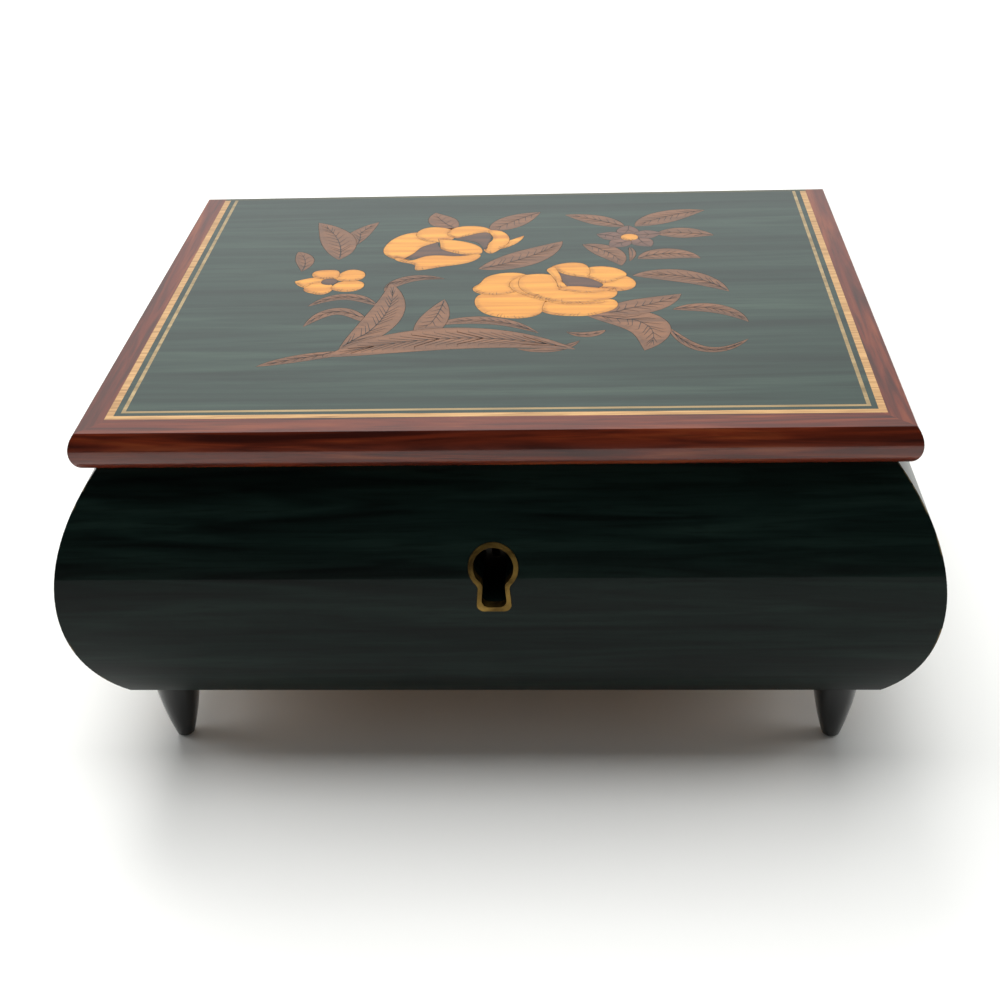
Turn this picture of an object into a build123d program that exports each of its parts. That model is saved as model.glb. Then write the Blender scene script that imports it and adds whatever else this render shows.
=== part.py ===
"""Inlaid, footed wind-up music box with a hinged lid and an 18-note movement.

Frame: millimetres, +Z up, -Y is the front, origin on the floor under the middle of the box.
"""
from build123d import *
import os
from math import cos, log, pi, radians, sin, sqrt

# ---------------------------------------------------------------- driving dimensions
opening_length = 156.1        # top outer edge of the body, left to right
opening_width = 126.1         # top outer edge of the body, front to back
wall_height = 56.0
wall_top_thickness = 7.0      # from the top outer edge to the upright inner face
bulge_radius = 44.0           # the bow of all four walls
bulge_centre_height = 26.5    # above the bottom edge of the wall
foot_height = 18.2
foot_top_radius = 5.2
foot_tip_radius = 2.0
foot_inset = 8.0              # foot centre from the bottom edge of the wall
base_thickness = 6.0
rebate_skin = 2.5             # wood left outside the base panel
lid_thickness = 8.3
lid_gap = 0.2                 # daylight between lid and body
lid_overhang_side = 4.5
lid_overhang_front = 6.0
moulding_side = 6.0           # width of the red moulding, overhanging edge to stringing
moulding_front = 7.1
back_strip = 1.2
veneer = 0.6
string_outer_width = 1.5
string_dark_width = 1.2
string_inner_width = 0.8
kerf = 0.08                   # saw line round every inlaid piece
divider_drop = 11.0           # the dividers' tops below the top of the walls
cut_past = 1.0                # how far a cut runs past the wood that it opens

# ---------------------------------------------------------------- clearances
glue_gap = 0.05               # pieces pushed into a hole or rebate
running_gap = 0.05            # shaft in a bearing, on the radius
moving_gap = 0.3              # pieces that pass each other

# ---------------------------------------------------------------- derived body sizes
half_length = opening_length / 2
half_width = opening_width / 2
wall_bottom = foot_height
wall_top = wall_bottom + wall_height
inner_half_length = half_length - wall_top_thickness
inner_half_width = half_width - wall_top_thickness
base_top = wall_bottom + base_thickness
lid_bottom = wall_top + lid_gap
lid_top = lid_bottom + lid_thickness
bulge_z = wall_bottom + bulge_centre_height
top_drop = wall_height - bulge_centre_height
bulge_axis_inset = sqrt(bulge_radius**2 - top_drop**2)   # top edge to the bow's axis


def bow(z):
    """How far the wall's outside stands beyond its top edge at height z."""
    return sqrt(bulge_radius**2 - (z - bulge_z)**2) - bulge_axis_inset


bow_most = bulge_radius - bulge_axis_inset
bow_bottom = bow(wall_bottom)

# Planes whose x runs outwards from the box and whose y is up.
outward_front = Plane(origin=(0, 0, 0), x_dir=(0, -1, 0), z_dir=(-1, 0, 0))
outward_back = Plane(origin=(0, 0, 0), x_dir=(0, 1, 0), z_dir=(1, 0, 0))
outward_left = Plane(origin=(0, 0, 0), x_dir=(-1, 0, 0), z_dir=(0, 1, 0))
outward_right = Plane(origin=(0, 0, 0), x_dir=(1, 0, 0), z_dir=(0, -1, 0))

os.makedirs("parts", exist_ok=True)


def save(builder, name):
    """Label a finished piece and write its STEP file."""
    builder.part.label = name
    export_step(builder.part, f"parts/{name}.step")


# ---------------------------------------------------------------- body walls
def bowed_profile(plane, half_across):
    """Section of one wall: upright inside, bowed outside, rebated below for the base panel."""
    bow_axis = half_across - bulge_axis_inset
    inner = half_across - wall_top_thickness
    rebate = half_across + bow_bottom - rebate_skin
    with BuildSketch(plane) as section:
        with BuildLine():
            bowed = ThreePointArc(
                (half_across + bow_bottom, wall_bottom),
                (bow_axis + bulge_radius, bulge_z),
                (half_across, wall_top),
            )
            Polyline(bowed @ 1, (inner, wall_top), (inner, base_top), (rebate, base_top),
                     (rebate, wall_bottom), bowed @ 0)
        make_face()
    return section.sketch


def mitre_region(facing, half_run, half_across):
    """Plan of what one wall may fill between the two 45 degree mitres at its ends."""
    reach = bow_most + cut_past
    shrink = wall_top_thickness + bulge_axis_inset
    outer_run = half_run + reach
    inner_run = half_run - shrink
    with BuildSketch(Plane.XY.offset(wall_bottom)) as region:
        with Locations(Rotation(0, 0, facing)):
            Polygon((-outer_run, -half_across - reach), (outer_run, -half_across - reach),
                    (inner_run, -half_across + shrink), (-inner_run, -half_across + shrink),
                    align=None)
    return region.sketch


def bowed_wall(plane, facing, half_run, half_across):
    """Fill the open part with one mitred wall."""
    extrude(bowed_profile(plane, half_across), amount=half_run + bow_most + cut_past, both=True)
    extrude(mitre_region(facing, half_run, half_across), amount=wall_height, mode=Mode.INTERSECT)


# ---------------------------------------------------------------- lock and escutcheon sizes
keyhole_drop = 19.4           # centre of the keyhole's round head below the top of the wall
keyhole_z = wall_top - keyhole_drop
escutcheon_head_radius = 5.0
escutcheon_waist_half = 2.8
escutcheon_foot_half = 3.6
escutcheon_drop = 9.6         # head centre to the bottom of the foot
escutcheon_line = 0.95
escutcheon_depth = 2.0
escutcheon_proud = 0.25
escutcheon_corner = 1.5
lock_half_length = 14.0
lock_depth = 5.2              # let into the inner face of the front wall
lock_height = 27.0
lock_wall = 0.8
lock_bottom = wall_top - lock_height - glue_gap     # floor of the lock's mortise
lock_back_y = -inner_half_width
lock_front_y = lock_back_y - lock_depth
staple_x = (-6.0, 6.0)
staple_thickness = 1.0
staple_reach = 7.5            # below the lid
staple_half_width = 1.45


def keyhole_outline(inset):
    """Round head over a flared foot, drawn inset from the escutcheon's outside."""
    foot = -escutcheon_drop + inset
    with BuildSketch(Plane.XZ.offset(0)) as outline:
        with Locations((0, keyhole_z)):
            Circle(escutcheon_head_radius - inset)
            Polygon((-escutcheon_waist_half + inset, 0), (escutcheon_waist_half - inset, 0),
                    (escutcheon_foot_half - inset, foot), (-escutcheon_foot_half + inset, foot),
                    align=None)
        fillet(outline.vertices().group_by(Axis.Z)[0], radius=escutcheon_corner)
    return outline.sketch


# ---------------------------------------------------------------- hinge sizes
hinge_x = (-45.0, 45.0)
hinge_length = 22.0
hinge_leaf = 0.8
hinge_leaf_reach = 7.2        # pin axis to the leaf's inner edge
hinge_barrel_radius = 1.6
hinge_pin_radius = 0.7
hinge_pin_stand_off = 1.45    # pin axis behind the back edge of the body
hinge_y = half_width + hinge_pin_stand_off
hinge_z = wall_top + lid_gap / 2
knuckle_relief = 0.3
screw_shank_radius = 0.8
screw_head_radius = 1.7
screw_head_height = 0.9
screw_length = 5.0
screw_point = 0.8
screw_slot_width = 0.4
screw_slot_depth = 0.7
pin_end_length = 0.4          # pin beyond the knuckles at each end
screw_pitch = 12.0
screw_y = half_width - wall_top_thickness / 2
hinge_plane = Plane(origin=(0, hinge_y, hinge_z), x_dir=(0, 1, 0), z_dir=(1, 0, 0))


def hinge_relief(at):
    """Clear the barrel of the hinge at x = at out of the wood being cut."""
    with BuildSketch(hinge_plane.offset(at)) as round_room:
        Circle(hinge_barrel_radius + knuckle_relief)
    extrude(round_room.sketch, amount=hinge_length / 2 + knuckle_relief, both=True,
            mode=Mode.SUBTRACT)


def leaf_seat(at, z_low, z_high):
    """Shallow recess for one hinge leaf."""
    seat_width = hinge_leaf_reach + glue_gap
    with Locations((at, hinge_y - seat_width / 2, (z_low + z_high) / 2)):
        Box(hinge_length + 2 * glue_gap, seat_width, z_high - z_low, mode=Mode.SUBTRACT)


def screw_spots(at):
    """Places of the two screws of the hinge at x = at."""
    return [(at - screw_pitch / 2, screw_y), (at + screw_pitch / 2, screw_y)]


with BuildPart() as front_wall:
    bowed_wall(outward_front, 0, half_length, half_width)
    # Keyhole, from the bowed face through to the lock.
    extrude(keyhole_outline(escutcheon_line), amount=half_width + bow_most,
            mode=Mode.SUBTRACT)
    # Seat of the escutcheon, an even depth below the bowed face.
    with BuildPart(mode=Mode.PRIVATE) as escutcheon_seat:
        extrude(keyhole_outline(-glue_gap), amount=half_width + bow_most)
        with Locations((0, -(half_width - bulge_axis_inset), bulge_z)):
            Cylinder(bulge_radius - escutcheon_depth, 4 * escutcheon_head_radius,
                     rotation=(0, 90, 0), mode=Mode.SUBTRACT)
    add(escutcheon_seat.part, mode=Mode.SUBTRACT)
    # Mortise for the lock, open at the top and at the inner face.
    with Locations((0, lock_back_y + cut_past, lock_bottom)):
        Box(2 * (lock_half_length + glue_gap), lock_depth + glue_gap + cut_past,
            lock_height + cut_past, mode=Mode.SUBTRACT,
            align=(Align.CENTER, Align.MAX, Align.MIN))
save(front_wall, "front_wall")

with BuildPart() as back_wall:
    bowed_wall(outward_back, 180, half_length, half_width)
    for at in hinge_x:
        leaf_seat(at, wall_top - hinge_leaf - glue_gap, wall_top + lid_gap)
        hinge_relief(at)
        with Locations([(x, y, wall_top - hinge_leaf) for x, y in screw_spots(at)]):
            Cylinder(screw_shank_radius + glue_gap, screw_length, mode=Mode.SUBTRACT,
                     align=(Align.CENTER, Align.CENTER, Align.MAX))
save(back_wall, "back_wall")

with BuildPart() as left_wall:
    bowed_wall(outward_left, -90, half_width, half_length)
save(left_wall, "left_wall")

with BuildPart() as right_wall:
    bowed_wall(outward_right, 90, half_width, half_length)
save(right_wall, "right_wall")

with BuildPart() as keyhole_escutcheon:
    bow_axis_y = -(half_width - bulge_axis_inset)
    extrude(keyhole_outline(0), amount=half_width + bow_most + cut_past)
    extrude(keyhole_outline(escutcheon_line), amount=half_width + bow_most + cut_past,
            mode=Mode.SUBTRACT)
    with Locations((0, bow_axis_y, bulge_z)):
        Cylinder(bulge_radius + escutcheon_proud, 4 * escutcheon_head_radius,
                 rotation=(0, 90, 0), mode=Mode.INTERSECT)
        Cylinder(bulge_radius - escutcheon_depth + glue_gap, 5 * escutcheon_head_radius,
                 rotation=(0, 90, 0), mode=Mode.SUBTRACT)
save(keyhole_escutcheon, "keyhole_escutcheon")

# ---------------------------------------------------------------- movement sizes
plate_width = 39.0
plate_thickness = 2.5
plate_margin = 0.3            # bedplate beyond the gear train at each end
plate_corner = 3.0
plate_leg_height = 3.0
plate_leg_radius = 3.0
leg_inset = 5.0               # leg centres from the bedplate's edges
gear_backlash = 0.25          # taken off each driving tooth's width
governor_backlash = 0.175
crown_teeth = 48
pinion_teeth = 20
drive_module = 0.5
crown_face = 2.5
crown_tooth_height = 0.9
crown_disc = 1.2
tooth_addendum = 0.4
tooth_dedendum = 0.55
tooth_sink = 0.3              # how deep a tooth is rooted in its wheel
tooth_root_share = 0.62       # half a tooth's width at root and tip, of its pitch width
tooth_tip_share = 0.33
barrel_radius = 9.8
barrel_wall = 0.8
barrel_height = 12.0
barrel_lift = 0.5             # above the bedplate
barrel_lid_thickness = 1.0
arbor_radius = 2.0
cylinder_radius = 6.5
cylinder_length = 17.5
cylinder_wall = 1.0
cylinder_pin_height = 0.8
cylinder_pin_radius = 0.22
cylinder_arbor_radius = 0.9
cylinder_back = 6.0           # cylinder's axis behind the middle of the bedplate
bearing_thickness = 0.9
bearing_arm_half = 2.5
bearing_space = 0.75          # cylinder end to bearing
governor_module = 0.35
governor_addendum = 0.245
governor_gear_teeth = 36
governor_pinion_teeth = 12
governor_spread = 0.15        # extra centre distance
governor_gear_space = 0.6     # bearing to gear
pinion_side = 0.3             # governor pinion beyond its gear at each side
gear_thickness = 1.0
tooth_count = 18
comb_thickness = 0.8
comb_body_thickness = 1.8
comb_body_width = 7.0
comb_tooth_length = 9.5
comb_slit = 0.22
comb_slit_end = 0.5           # solid steel left behind each slit
comb_tip_gap = 0.25
comb_margin = 0.8
comb_screw_radius = 1.2
comb_screw_head = 1.0
worm_wheel_radius = 4.4
worm_wheel_teeth = 24
worm_wheel_tooth = 0.5
worm_wheel_thickness = 1.2
worm_wheel_space = 1.6        # gear to worm wheel
worm_radius = 1.2
worm_thread = 0.35
worm_pitch = 0.9
worm_rings = 3                # each side of the middle one
worm_half_length = 3.0
worm_gap = 0.3
worm_shaft_radius = 0.5
worm_pivot_depth = 1.2
bracket_space = 2.6           # worm's axis to the bracket
pivot_radius = 0.6
fly_radius = 3.9
fly_height = 4.6
fly_thickness = 0.35
fly_lift = 2.0                # above the bracket
fly_corner = 1.0
stop_rod_radius = 0.7
stop_lever_side = 0.9         # lever to the left of the fly's axis
stop_lever_lift = 1.6         # lever above the foot of the fly
stop_rod_back = 5.6           # rod behind the governor's axis
lever_arm = 4.0
lever_front = 3.0
lever_thickness = 1.2
movement_screw_radius = 1.4
movement_screw_head_radius = 2.8
movement_screw_head = 1.5
slot_width = 0.5
slot_depth = 0.8
thread_end = 0.5              # room left under a screw's end
lid_lining_thickness = 1.8
tray_lining = 1.2

crown_radius = drive_module * crown_teeth / 2
drive_pinion_radius = drive_module * pinion_teeth / 2
governor_gear_radius = governor_module * governor_gear_teeth / 2
governor_pinion_radius = governor_module * governor_pinion_teeth / 2
# Lengths of the gear train to the left and right of the cylinder's left end.
bearing_left = bearing_space + bearing_thickness
gear_left = bearing_left + governor_gear_space + gear_thickness
worm_left = gear_left + worm_wheel_space + worm_wheel_thickness / 2
train_left = worm_left + bracket_space + bearing_thickness
pinion_right = cylinder_length + 2 * bearing_space + bearing_thickness + crown_face / 2
train_right = pinion_right + 2 * crown_radius + crown_face / 2
plate_length = train_left + train_right + 2 * plate_margin

# ---------------------------------------------------------------- compartments
divider_thickness = 3.0
bay_room_length = 2.0         # bay beyond the bedplate at each side
bay_room_width = 5.5
cover_thickness = 2.0
cover_gap = 0.3
cover_corner = 1.5
cleat_size = 3.0
movement_bay_length = plate_length + 2 * bay_room_length
movement_bay_width = plate_width + 2 * bay_room_width
divider_top = wall_top - divider_drop
divider_height = divider_top - base_top
long_divider_x = -inner_half_length + movement_bay_length
short_divider_y = inner_half_width - movement_bay_width
bay_x = -inner_half_length + movement_bay_length / 2
bay_y = inner_half_width - movement_bay_width / 2

# ---------------------------------------------------------------- places in the movement
plate_bottom = base_top + plate_leg_height
plate_top = plate_bottom + plate_thickness
barrel_bottom = plate_top + barrel_lift
crown_pitch_z = barrel_bottom + crown_disc + crown_tooth_height - tooth_addendum
axis_z = crown_pitch_z + drive_pinion_radius      # height of the cylinder's axis
axis_y = bay_y + cylinder_back
cylinder_left = bay_x - plate_length / 2 + plate_margin + train_left
cylinder_right = cylinder_left + cylinder_length
left_bearing_x = cylinder_left - bearing_left
right_bearing_x = cylinder_right + bearing_space
drive_pinion_x = cylinder_left + pinion_right
barrel_x = drive_pinion_x + crown_radius
governor_gear_x = cylinder_left - gear_left
governor_y = axis_y + governor_gear_radius + governor_pinion_radius + governor_spread
worm_x = cylinder_left - worm_left
worm_y = governor_y - worm_wheel_radius - worm_radius - worm_gap
bracket_left_x = worm_x - bracket_space
bracket_top = axis_z + worm_wheel_radius + bearing_thickness
fly_bottom = bracket_top + fly_lift

with BuildPart() as base_panel:
    panel_half_length = half_length + bow_bottom - rebate_skin - glue_gap
    panel_half_width = half_width + bow_bottom - rebate_skin - glue_gap
    with Locations((0, 0, wall_bottom + base_thickness / 2)):
        Box(2 * panel_half_length, 2 * panel_half_width, base_thickness)
    foot_x = half_length + bow_bottom - foot_inset
    foot_y = half_width + bow_bottom - foot_inset
    tenon_radius = 3.0
    tenon_length = 5.0
    with GridLocations(2 * foot_x, 2 * foot_y, 2, 2):
        with Locations((0, 0, wall_bottom)):
            Cylinder(tenon_radius + glue_gap, tenon_length + glue_gap, mode=Mode.SUBTRACT,
                     align=(Align.CENTER, Align.CENTER, Align.MIN))
    with Locations((barrel_x, axis_y, wall_bottom)):
        Cylinder(arbor_radius + 2 * moving_gap, base_thickness, mode=Mode.SUBTRACT,
                 align=(Align.CENTER, Align.CENTER, Align.MIN))
    leg_x = plate_length / 2 - leg_inset
    leg_y = plate_width / 2 - leg_inset
    leg_spots = [(bay_x - leg_x, bay_y - leg_y), (bay_x + leg_x, bay_y - leg_y),
                 (bay_x, bay_y + leg_y)]
    with Locations([(x, y, wall_bottom) for x, y in leg_spots]):
        Cylinder(movement_screw_radius + glue_gap, base_thickness, mode=Mode.SUBTRACT,
                 align=(Align.CENTER, Align.CENTER, Align.MIN))
        Cylinder(movement_screw_head_radius + glue_gap, movement_screw_head + glue_gap,
                 mode=Mode.SUBTRACT,
                 align=(Align.CENTER, Align.CENTER, Align.MIN))
save(base_panel, "base_panel")

# ---------------------------------------------------------------- feet
foot_collar = 1.3
foot_groove = 0.35
foot_groove_width = 0.1
foot_taper_step = 0.15        # taper's top inside the collar
foot_swell = 0.35             # outward curve of the taper
foot_tip_edge = 0.6           # bevel round the tip


def peg_foot(x, y):
    """Turned peg: short collar, fine groove, long taper to a small flat tip."""
    with BuildPart() as foot:
        with BuildSketch(Plane.XZ):
            with BuildLine():
                neck_z = wall_bottom - foot_collar
                taper = ThreePointArc(
                    (foot_top_radius - foot_taper_step, neck_z - foot_groove),
                    ((foot_top_radius + foot_tip_radius) / 2 + foot_swell, neck_z / 2),
                    (foot_tip_radius, foot_tip_edge),
                )
                Polyline(taper @ 1, (foot_tip_radius - foot_tip_edge, 0), (0, 0),
                         (0, wall_bottom + tenon_length), (tenon_radius, wall_bottom + tenon_length),
                         (tenon_radius, wall_bottom), (foot_top_radius, wall_bottom),
                         (foot_top_radius, neck_z),
                         (foot_top_radius - foot_groove, neck_z - foot_groove_width), taper @ 0)
            make_face()
        revolve(axis=Axis.Z)
    return foot.part.moved(Location((x, y, 0)))


for end, side_y in (("front", -foot_y), ("back", foot_y)):
    for side, side_x in (("left", -foot_x), ("right", foot_x)):
        with BuildPart() as foot:
            add(peg_foot(side_x, side_y))
        save(foot, f"foot_{end}_{side}")

# ---------------------------------------------------------------- dividers, linings, cover
with BuildPart() as compartment_divider:
    with Locations((long_divider_x, 0, base_top)):
        Box(divider_thickness, 2 * inner_half_width, divider_height,
            align=(Align.MIN, Align.CENTER, Align.MIN))
save(compartment_divider, "compartment_divider")

with BuildPart() as movement_divider:
    with Locations((-inner_half_length, short_divider_y, base_top)):
        Box(movement_bay_length, divider_thickness, divider_height,
            align=(Align.MIN, Align.MAX, Align.MIN))
save(movement_divider, "movement_divider")

with BuildPart() as cover_cleats:
    with Locations((-inner_half_length, short_divider_y, divider_top)):
        Box(cleat_size, movement_bay_width, cleat_size, align=(Align.MIN, Align.MIN, Align.MAX))
    with Locations((-inner_half_length, inner_half_width, divider_top)):
        Box(movement_bay_length, cleat_size, cleat_size, align=(Align.MIN, Align.MAX, Align.MAX))
save(cover_cleats, "cover_cleats")

stop_x = worm_x - stop_lever_side
stop_rod_y = governor_y + stop_rod_back
lever_pivot_y = stop_rod_y - lever_arm
lever_z = fly_bottom + stop_lever_lift

with BuildPart() as movement_cover:
    with Locations((-inner_half_length + cover_gap, inner_half_width - cover_gap, divider_top)):
        Box(movement_bay_length + divider_thickness - cover_gap,
            movement_bay_width + divider_thickness - cover_gap, cover_thickness,
            align=(Align.MIN, Align.MAX, Align.MIN))
    fillet(movement_cover.edges().filter_by(Axis.Z), radius=cover_corner)
    with Locations((stop_x, stop_rod_y, divider_top)):
        Cylinder(stop_rod_radius + moving_gap, cover_thickness, mode=Mode.SUBTRACT,
                 align=(Align.CENTER, Align.CENTER, Align.MIN))
save(movement_cover, "movement_cover")


def bay_lining(x_low, x_high, y_low, y_high, low_sides):
    """Velvet-covered card in one bay, cut down to the divider's height on its low sides."""
    full_top = wall_top - 2 * tray_lining
    with BuildPart() as lining:
        with Locations((x_low, y_low, base_top)):
            Box(x_high - x_low, y_high - y_low, full_top - base_top, align=Align.MIN)
        openings = lining.faces().sort_by(Axis.Z)[-1]
        offset(amount=-tray_lining, openings=openings)
        for side in low_sides:
            centre = ((x_low + x_high) / 2, (y_low + y_high) / 2)
            reach = ((x_high - x_low) / 2, (y_high - y_low) / 2)
            with Locations((centre[0] + side[0] * reach[0], centre[1] + side[1] * reach[1],
                            divider_top)):
                Box(2 * reach[0] * abs(side[1]) + 2 * tray_lining * abs(side[0]),
                    2 * reach[1] * abs(side[0]) + 2 * tray_lining * abs(side[1]),
                    full_top - divider_top, mode=Mode.SUBTRACT,
                    align=(Align.CENTER, Align.CENTER, Align.MIN))
    return lining.part


with BuildPart() as jewel_lining:
    add(bay_lining(long_divider_x + divider_thickness, inner_half_length,
                   -inner_half_width, inner_half_width, [(-1, 0)]))
save(jewel_lining, "jewel_lining")

with BuildPart() as ring_lining:
    add(bay_lining(-inner_half_length, long_divider_x, -inner_half_width,
                   short_divider_y - divider_thickness, [(1, 0), (0, 1)]))
save(ring_lining, "ring_lining")

# ---------------------------------------------------------------- lock
key_bore_radius = 1.9
key_slit_width = 1.6
key_slit_length = 5.2
key_pin_radius = 0.8

with BuildPart() as lock_case:
    with Locations((0, lock_back_y, wall_top)):
        Box(2 * lock_half_length, lock_depth, lock_height,
            align=(Align.CENTER, Align.MAX, Align.MAX))
    with Locations((0, lock_back_y - lock_wall, wall_top - lock_wall)):
        Box(2 * (lock_half_length - lock_wall), lock_depth - 2 * lock_wall,
            lock_height - 2 * lock_wall, mode=Mode.SUBTRACT,
            align=(Align.CENTER, Align.MAX, Align.MAX))
    # Slots for the staples.
    with Locations([(x, (lock_front_y + lock_back_y) / 2, wall_top) for x in staple_x]):
        Box(staple_thickness + 2 * moving_gap, lock_depth - 2 * lock_wall, 3 * lock_wall,
            mode=Mode.SUBTRACT)
    # The lock's own small keyhole and the pin that the key turns on.
    with BuildSketch(Plane.XZ.offset(-lock_front_y)) as small_keyhole:
        with Locations((0, keyhole_z)):
            Circle(key_bore_radius)
            with Locations((0, -key_slit_length / 2)):
                Rectangle(key_slit_width, key_slit_length)
    extrude(small_keyhole.sketch, amount=lock_wall, both=True, mode=Mode.SUBTRACT)
    with Locations((0, lock_back_y - lock_depth / 2, keyhole_z)):
        Cylinder(key_pin_radius, lock_depth - lock_wall / 2, rotation=(90, 0, 0))
save(lock_case, "lock_case")

bolt_thickness = 1.2
bolt_y = (lock_front_y + lock_back_y) / 2
prong_height = 1.3
prong_lift = 2.6              # prongs above the staples' ends
prong_z = lid_bottom - staple_reach + prong_lift
post_width = 1.4
prong_length = 4.0
bar_height = 3.0
plate_seat = 1.0
link_half_length = 12.0
link_corner = 1.2

with BuildPart() as lock_bolt:
    bar_top = lid_bottom - staple_reach - moving_gap
    tip_back = staple_thickness / 2 + 2 * moving_gap     # prong tip to staple centre at rest
    bar_left = staple_x[0] - tip_back - prong_length
    bar_right = staple_x[1] - tip_back
    with Locations((bar_left, bolt_y, bar_top)):
        Box(bar_right - bar_left, bolt_thickness, bar_height,
            align=(Align.MIN, Align.CENTER, Align.MAX))
    for x in staple_x:
        with Locations((x - tip_back - prong_length, bolt_y, bar_top)):
            Box(post_width, bolt_thickness, prong_z + prong_height / 2 - bar_top,
                align=(Align.MIN, Align.CENTER, Align.MIN))
        with Locations((x - tip_back, bolt_y, prong_z)):
            Box(prong_length, bolt_thickness, prong_height,
                align=(Align.MAX, Align.CENTER, Align.CENTER))
save(lock_bolt, "lock_bolt")

with BuildPart() as lid_link_plate:
    with Locations((0, bolt_y, lid_bottom)):
        Box(2 * link_half_length, lock_depth, plate_seat,
            align=(Align.CENTER, Align.CENTER, Align.MIN))
    fillet(lid_link_plate.edges().filter_by(Axis.Z), radius=link_corner)
    for x in staple_x:
        with Locations((x, bolt_y, lid_bottom)):
            Box(staple_thickness, 2 * staple_half_width, staple_reach,
                align=(Align.CENTER, Align.CENTER, Align.MAX))
        with Locations((x, bolt_y, prong_z)):
            Box(2 * staple_thickness, bolt_thickness + 2 * moving_gap,
                prong_height + 2 * moving_gap, mode=Mode.SUBTRACT)
save(lid_link_plate, "lid_link_plate")


def link_plate_recess():
    """Recess in the lid's underside for the link plate."""
    with Locations((0, bolt_y, lid_bottom)):
        Box(2 * (link_half_length + glue_gap), lock_depth + 2 * glue_gap, plate_seat + glue_gap,
            mode=Mode.SUBTRACT, align=(Align.CENTER, Align.CENTER, Align.MIN))


# ---------------------------------------------------------------- hinges


def hinge_leaf_solid(at, leaf_low, leaf_high, knuckles, others):
    """One leaf: a plate let into the wood, with knuckles round the pin."""
    with BuildPart() as leaf:
        with Locations((at, hinge_y, leaf_low)):
            Box(hinge_length, hinge_leaf_reach, leaf_high - leaf_low,
                align=(Align.CENTER, Align.MAX, Align.MIN))
        for low, high in others:
            with Locations((at + (low + high) / 2, hinge_y, hinge_z)):
                Cylinder(hinge_barrel_radius + moving_gap, high - low + 2 * glue_gap,
                         rotation=(0, 90, 0), mode=Mode.SUBTRACT)
        for low, high in knuckles:
            with Locations((at + (low + high) / 2, hinge_y, hinge_z)):
                Cylinder(hinge_barrel_radius, high - low - 2 * glue_gap, rotation=(0, 90, 0))
        with Locations((at, hinge_y, hinge_z)):
            Cylinder(hinge_pin_radius + running_gap, hinge_length + cut_past, rotation=(0, 90, 0),
                     mode=Mode.SUBTRACT)
    return leaf.part


knuckle_third = hinge_length / 6
outer_knuckles = [(-hinge_length / 2, -knuckle_third), (knuckle_third, hinge_length / 2)]
middle_knuckle = [(-knuckle_third, knuckle_third)]


def sunk_holes(at, face_z, up):
    """Countersunk screw holes through a leaf whose outer face is at face_z."""
    for x, y in screw_spots(at):
        with BuildPart(mode=Mode.PRIVATE) as hole:
            add(wood_screw(x, y, face_z, up, glue_gap, slot=False))
        add(hole.part, mode=Mode.SUBTRACT)


def wood_screw(x, y, face_z, up, growth=0.0, slot=True):
    """Countersunk screw whose head is flush with face_z and whose point goes away from it."""
    with BuildPart() as screw:
        with BuildSketch(Plane.XZ):
            with BuildLine():
                Polyline((0, growth), (screw_head_radius + growth, growth),
                         (screw_shank_radius + growth, -screw_head_height),
                         (screw_shank_radius + growth, -screw_length + screw_point),
                         (0, -screw_length),
                         (0, growth))
            make_face()
        revolve(axis=Axis.Z)
        if slot:
            with Locations((0, 0, 0)):
                Box(2 * screw_head_radius + cut_past, screw_slot_width, screw_slot_depth,
                    mode=Mode.SUBTRACT)
    flip = 180 if up else 0
    return screw.part.moved(Location((x, y, face_z), (flip, 0, 0)))


lower_screws = []
upper_screws = []
for side, at in (("left", hinge_x[0]), ("right", hinge_x[1])):
    with BuildPart() as hinge_leaf_lower:
        add(hinge_leaf_solid(at, wall_top - hinge_leaf, wall_top, outer_knuckles, middle_knuckle))
        sunk_holes(at, wall_top, up=False)
    save(hinge_leaf_lower, f"hinge_leaf_lower_{side}")
    with BuildPart() as hinge_leaf_upper:
        add(hinge_leaf_solid(at, lid_bottom, lid_bottom + hinge_leaf, middle_knuckle,
                             outer_knuckles))
        sunk_holes(at, lid_bottom, up=True)
    save(hinge_leaf_upper, f"hinge_leaf_upper_{side}")
    with BuildPart() as hinge_pin:
        with Locations((at, hinge_y, hinge_z)):
            Cylinder(hinge_pin_radius, hinge_length + 2 * pin_end_length, rotation=(0, 90, 0))
        fillet(hinge_pin.edges().filter_by(GeomType.CIRCLE), radius=hinge_pin_radius / 2)
    save(hinge_pin, f"hinge_pin_{side}")
    lower_screws += [wood_screw(x, y, wall_top, up=False) for x, y in screw_spots(at)]
    upper_screws += [wood_screw(x, y, lid_bottom, up=True) for x, y in screw_spots(at)]

with BuildPart() as hinge_screws_lower:
    for screw in lower_screws:
        add(screw)
save(hinge_screws_lower, "hinge_screws_lower")

with BuildPart() as hinge_screws_upper:
    for screw in upper_screws:
        add(screw)
save(hinge_screws_upper, "hinge_screws_upper")

# ---------------------------------------------------------------- movement


def axle_plane(x, y, z):
    """Plane across a left-to-right axle: x towards the back, y up, normal to the right."""
    return Plane(origin=(x, y, z), x_dir=(0, 1, 0), z_dir=(1, 0, 0))


def toothed_disc(plane, teeth, root, tip, width, first_angle=0.0):
    """Gear outline with plain tapered teeth, one of them centred on first_angle."""
    with BuildSketch(plane) as disc:
        Circle(root)
        with PolarLocations(0, teeth, start_angle=first_angle):
            Polygon((root - tooth_sink, -width * tooth_root_share), (tip, -width * tooth_tip_share),
                    (tip, width * tooth_tip_share), (root - tooth_sink, width * tooth_root_share),
                    align=None)
    return disc.sketch


def axle(x_low, x_high, y, z, radius, mode=Mode.ADD):
    """Round bar along X between two ends."""
    with Locations(((x_low + x_high) / 2, y, z)):
        Cylinder(radius, x_high - x_low, rotation=(0, 90, 0), mode=mode)


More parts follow.
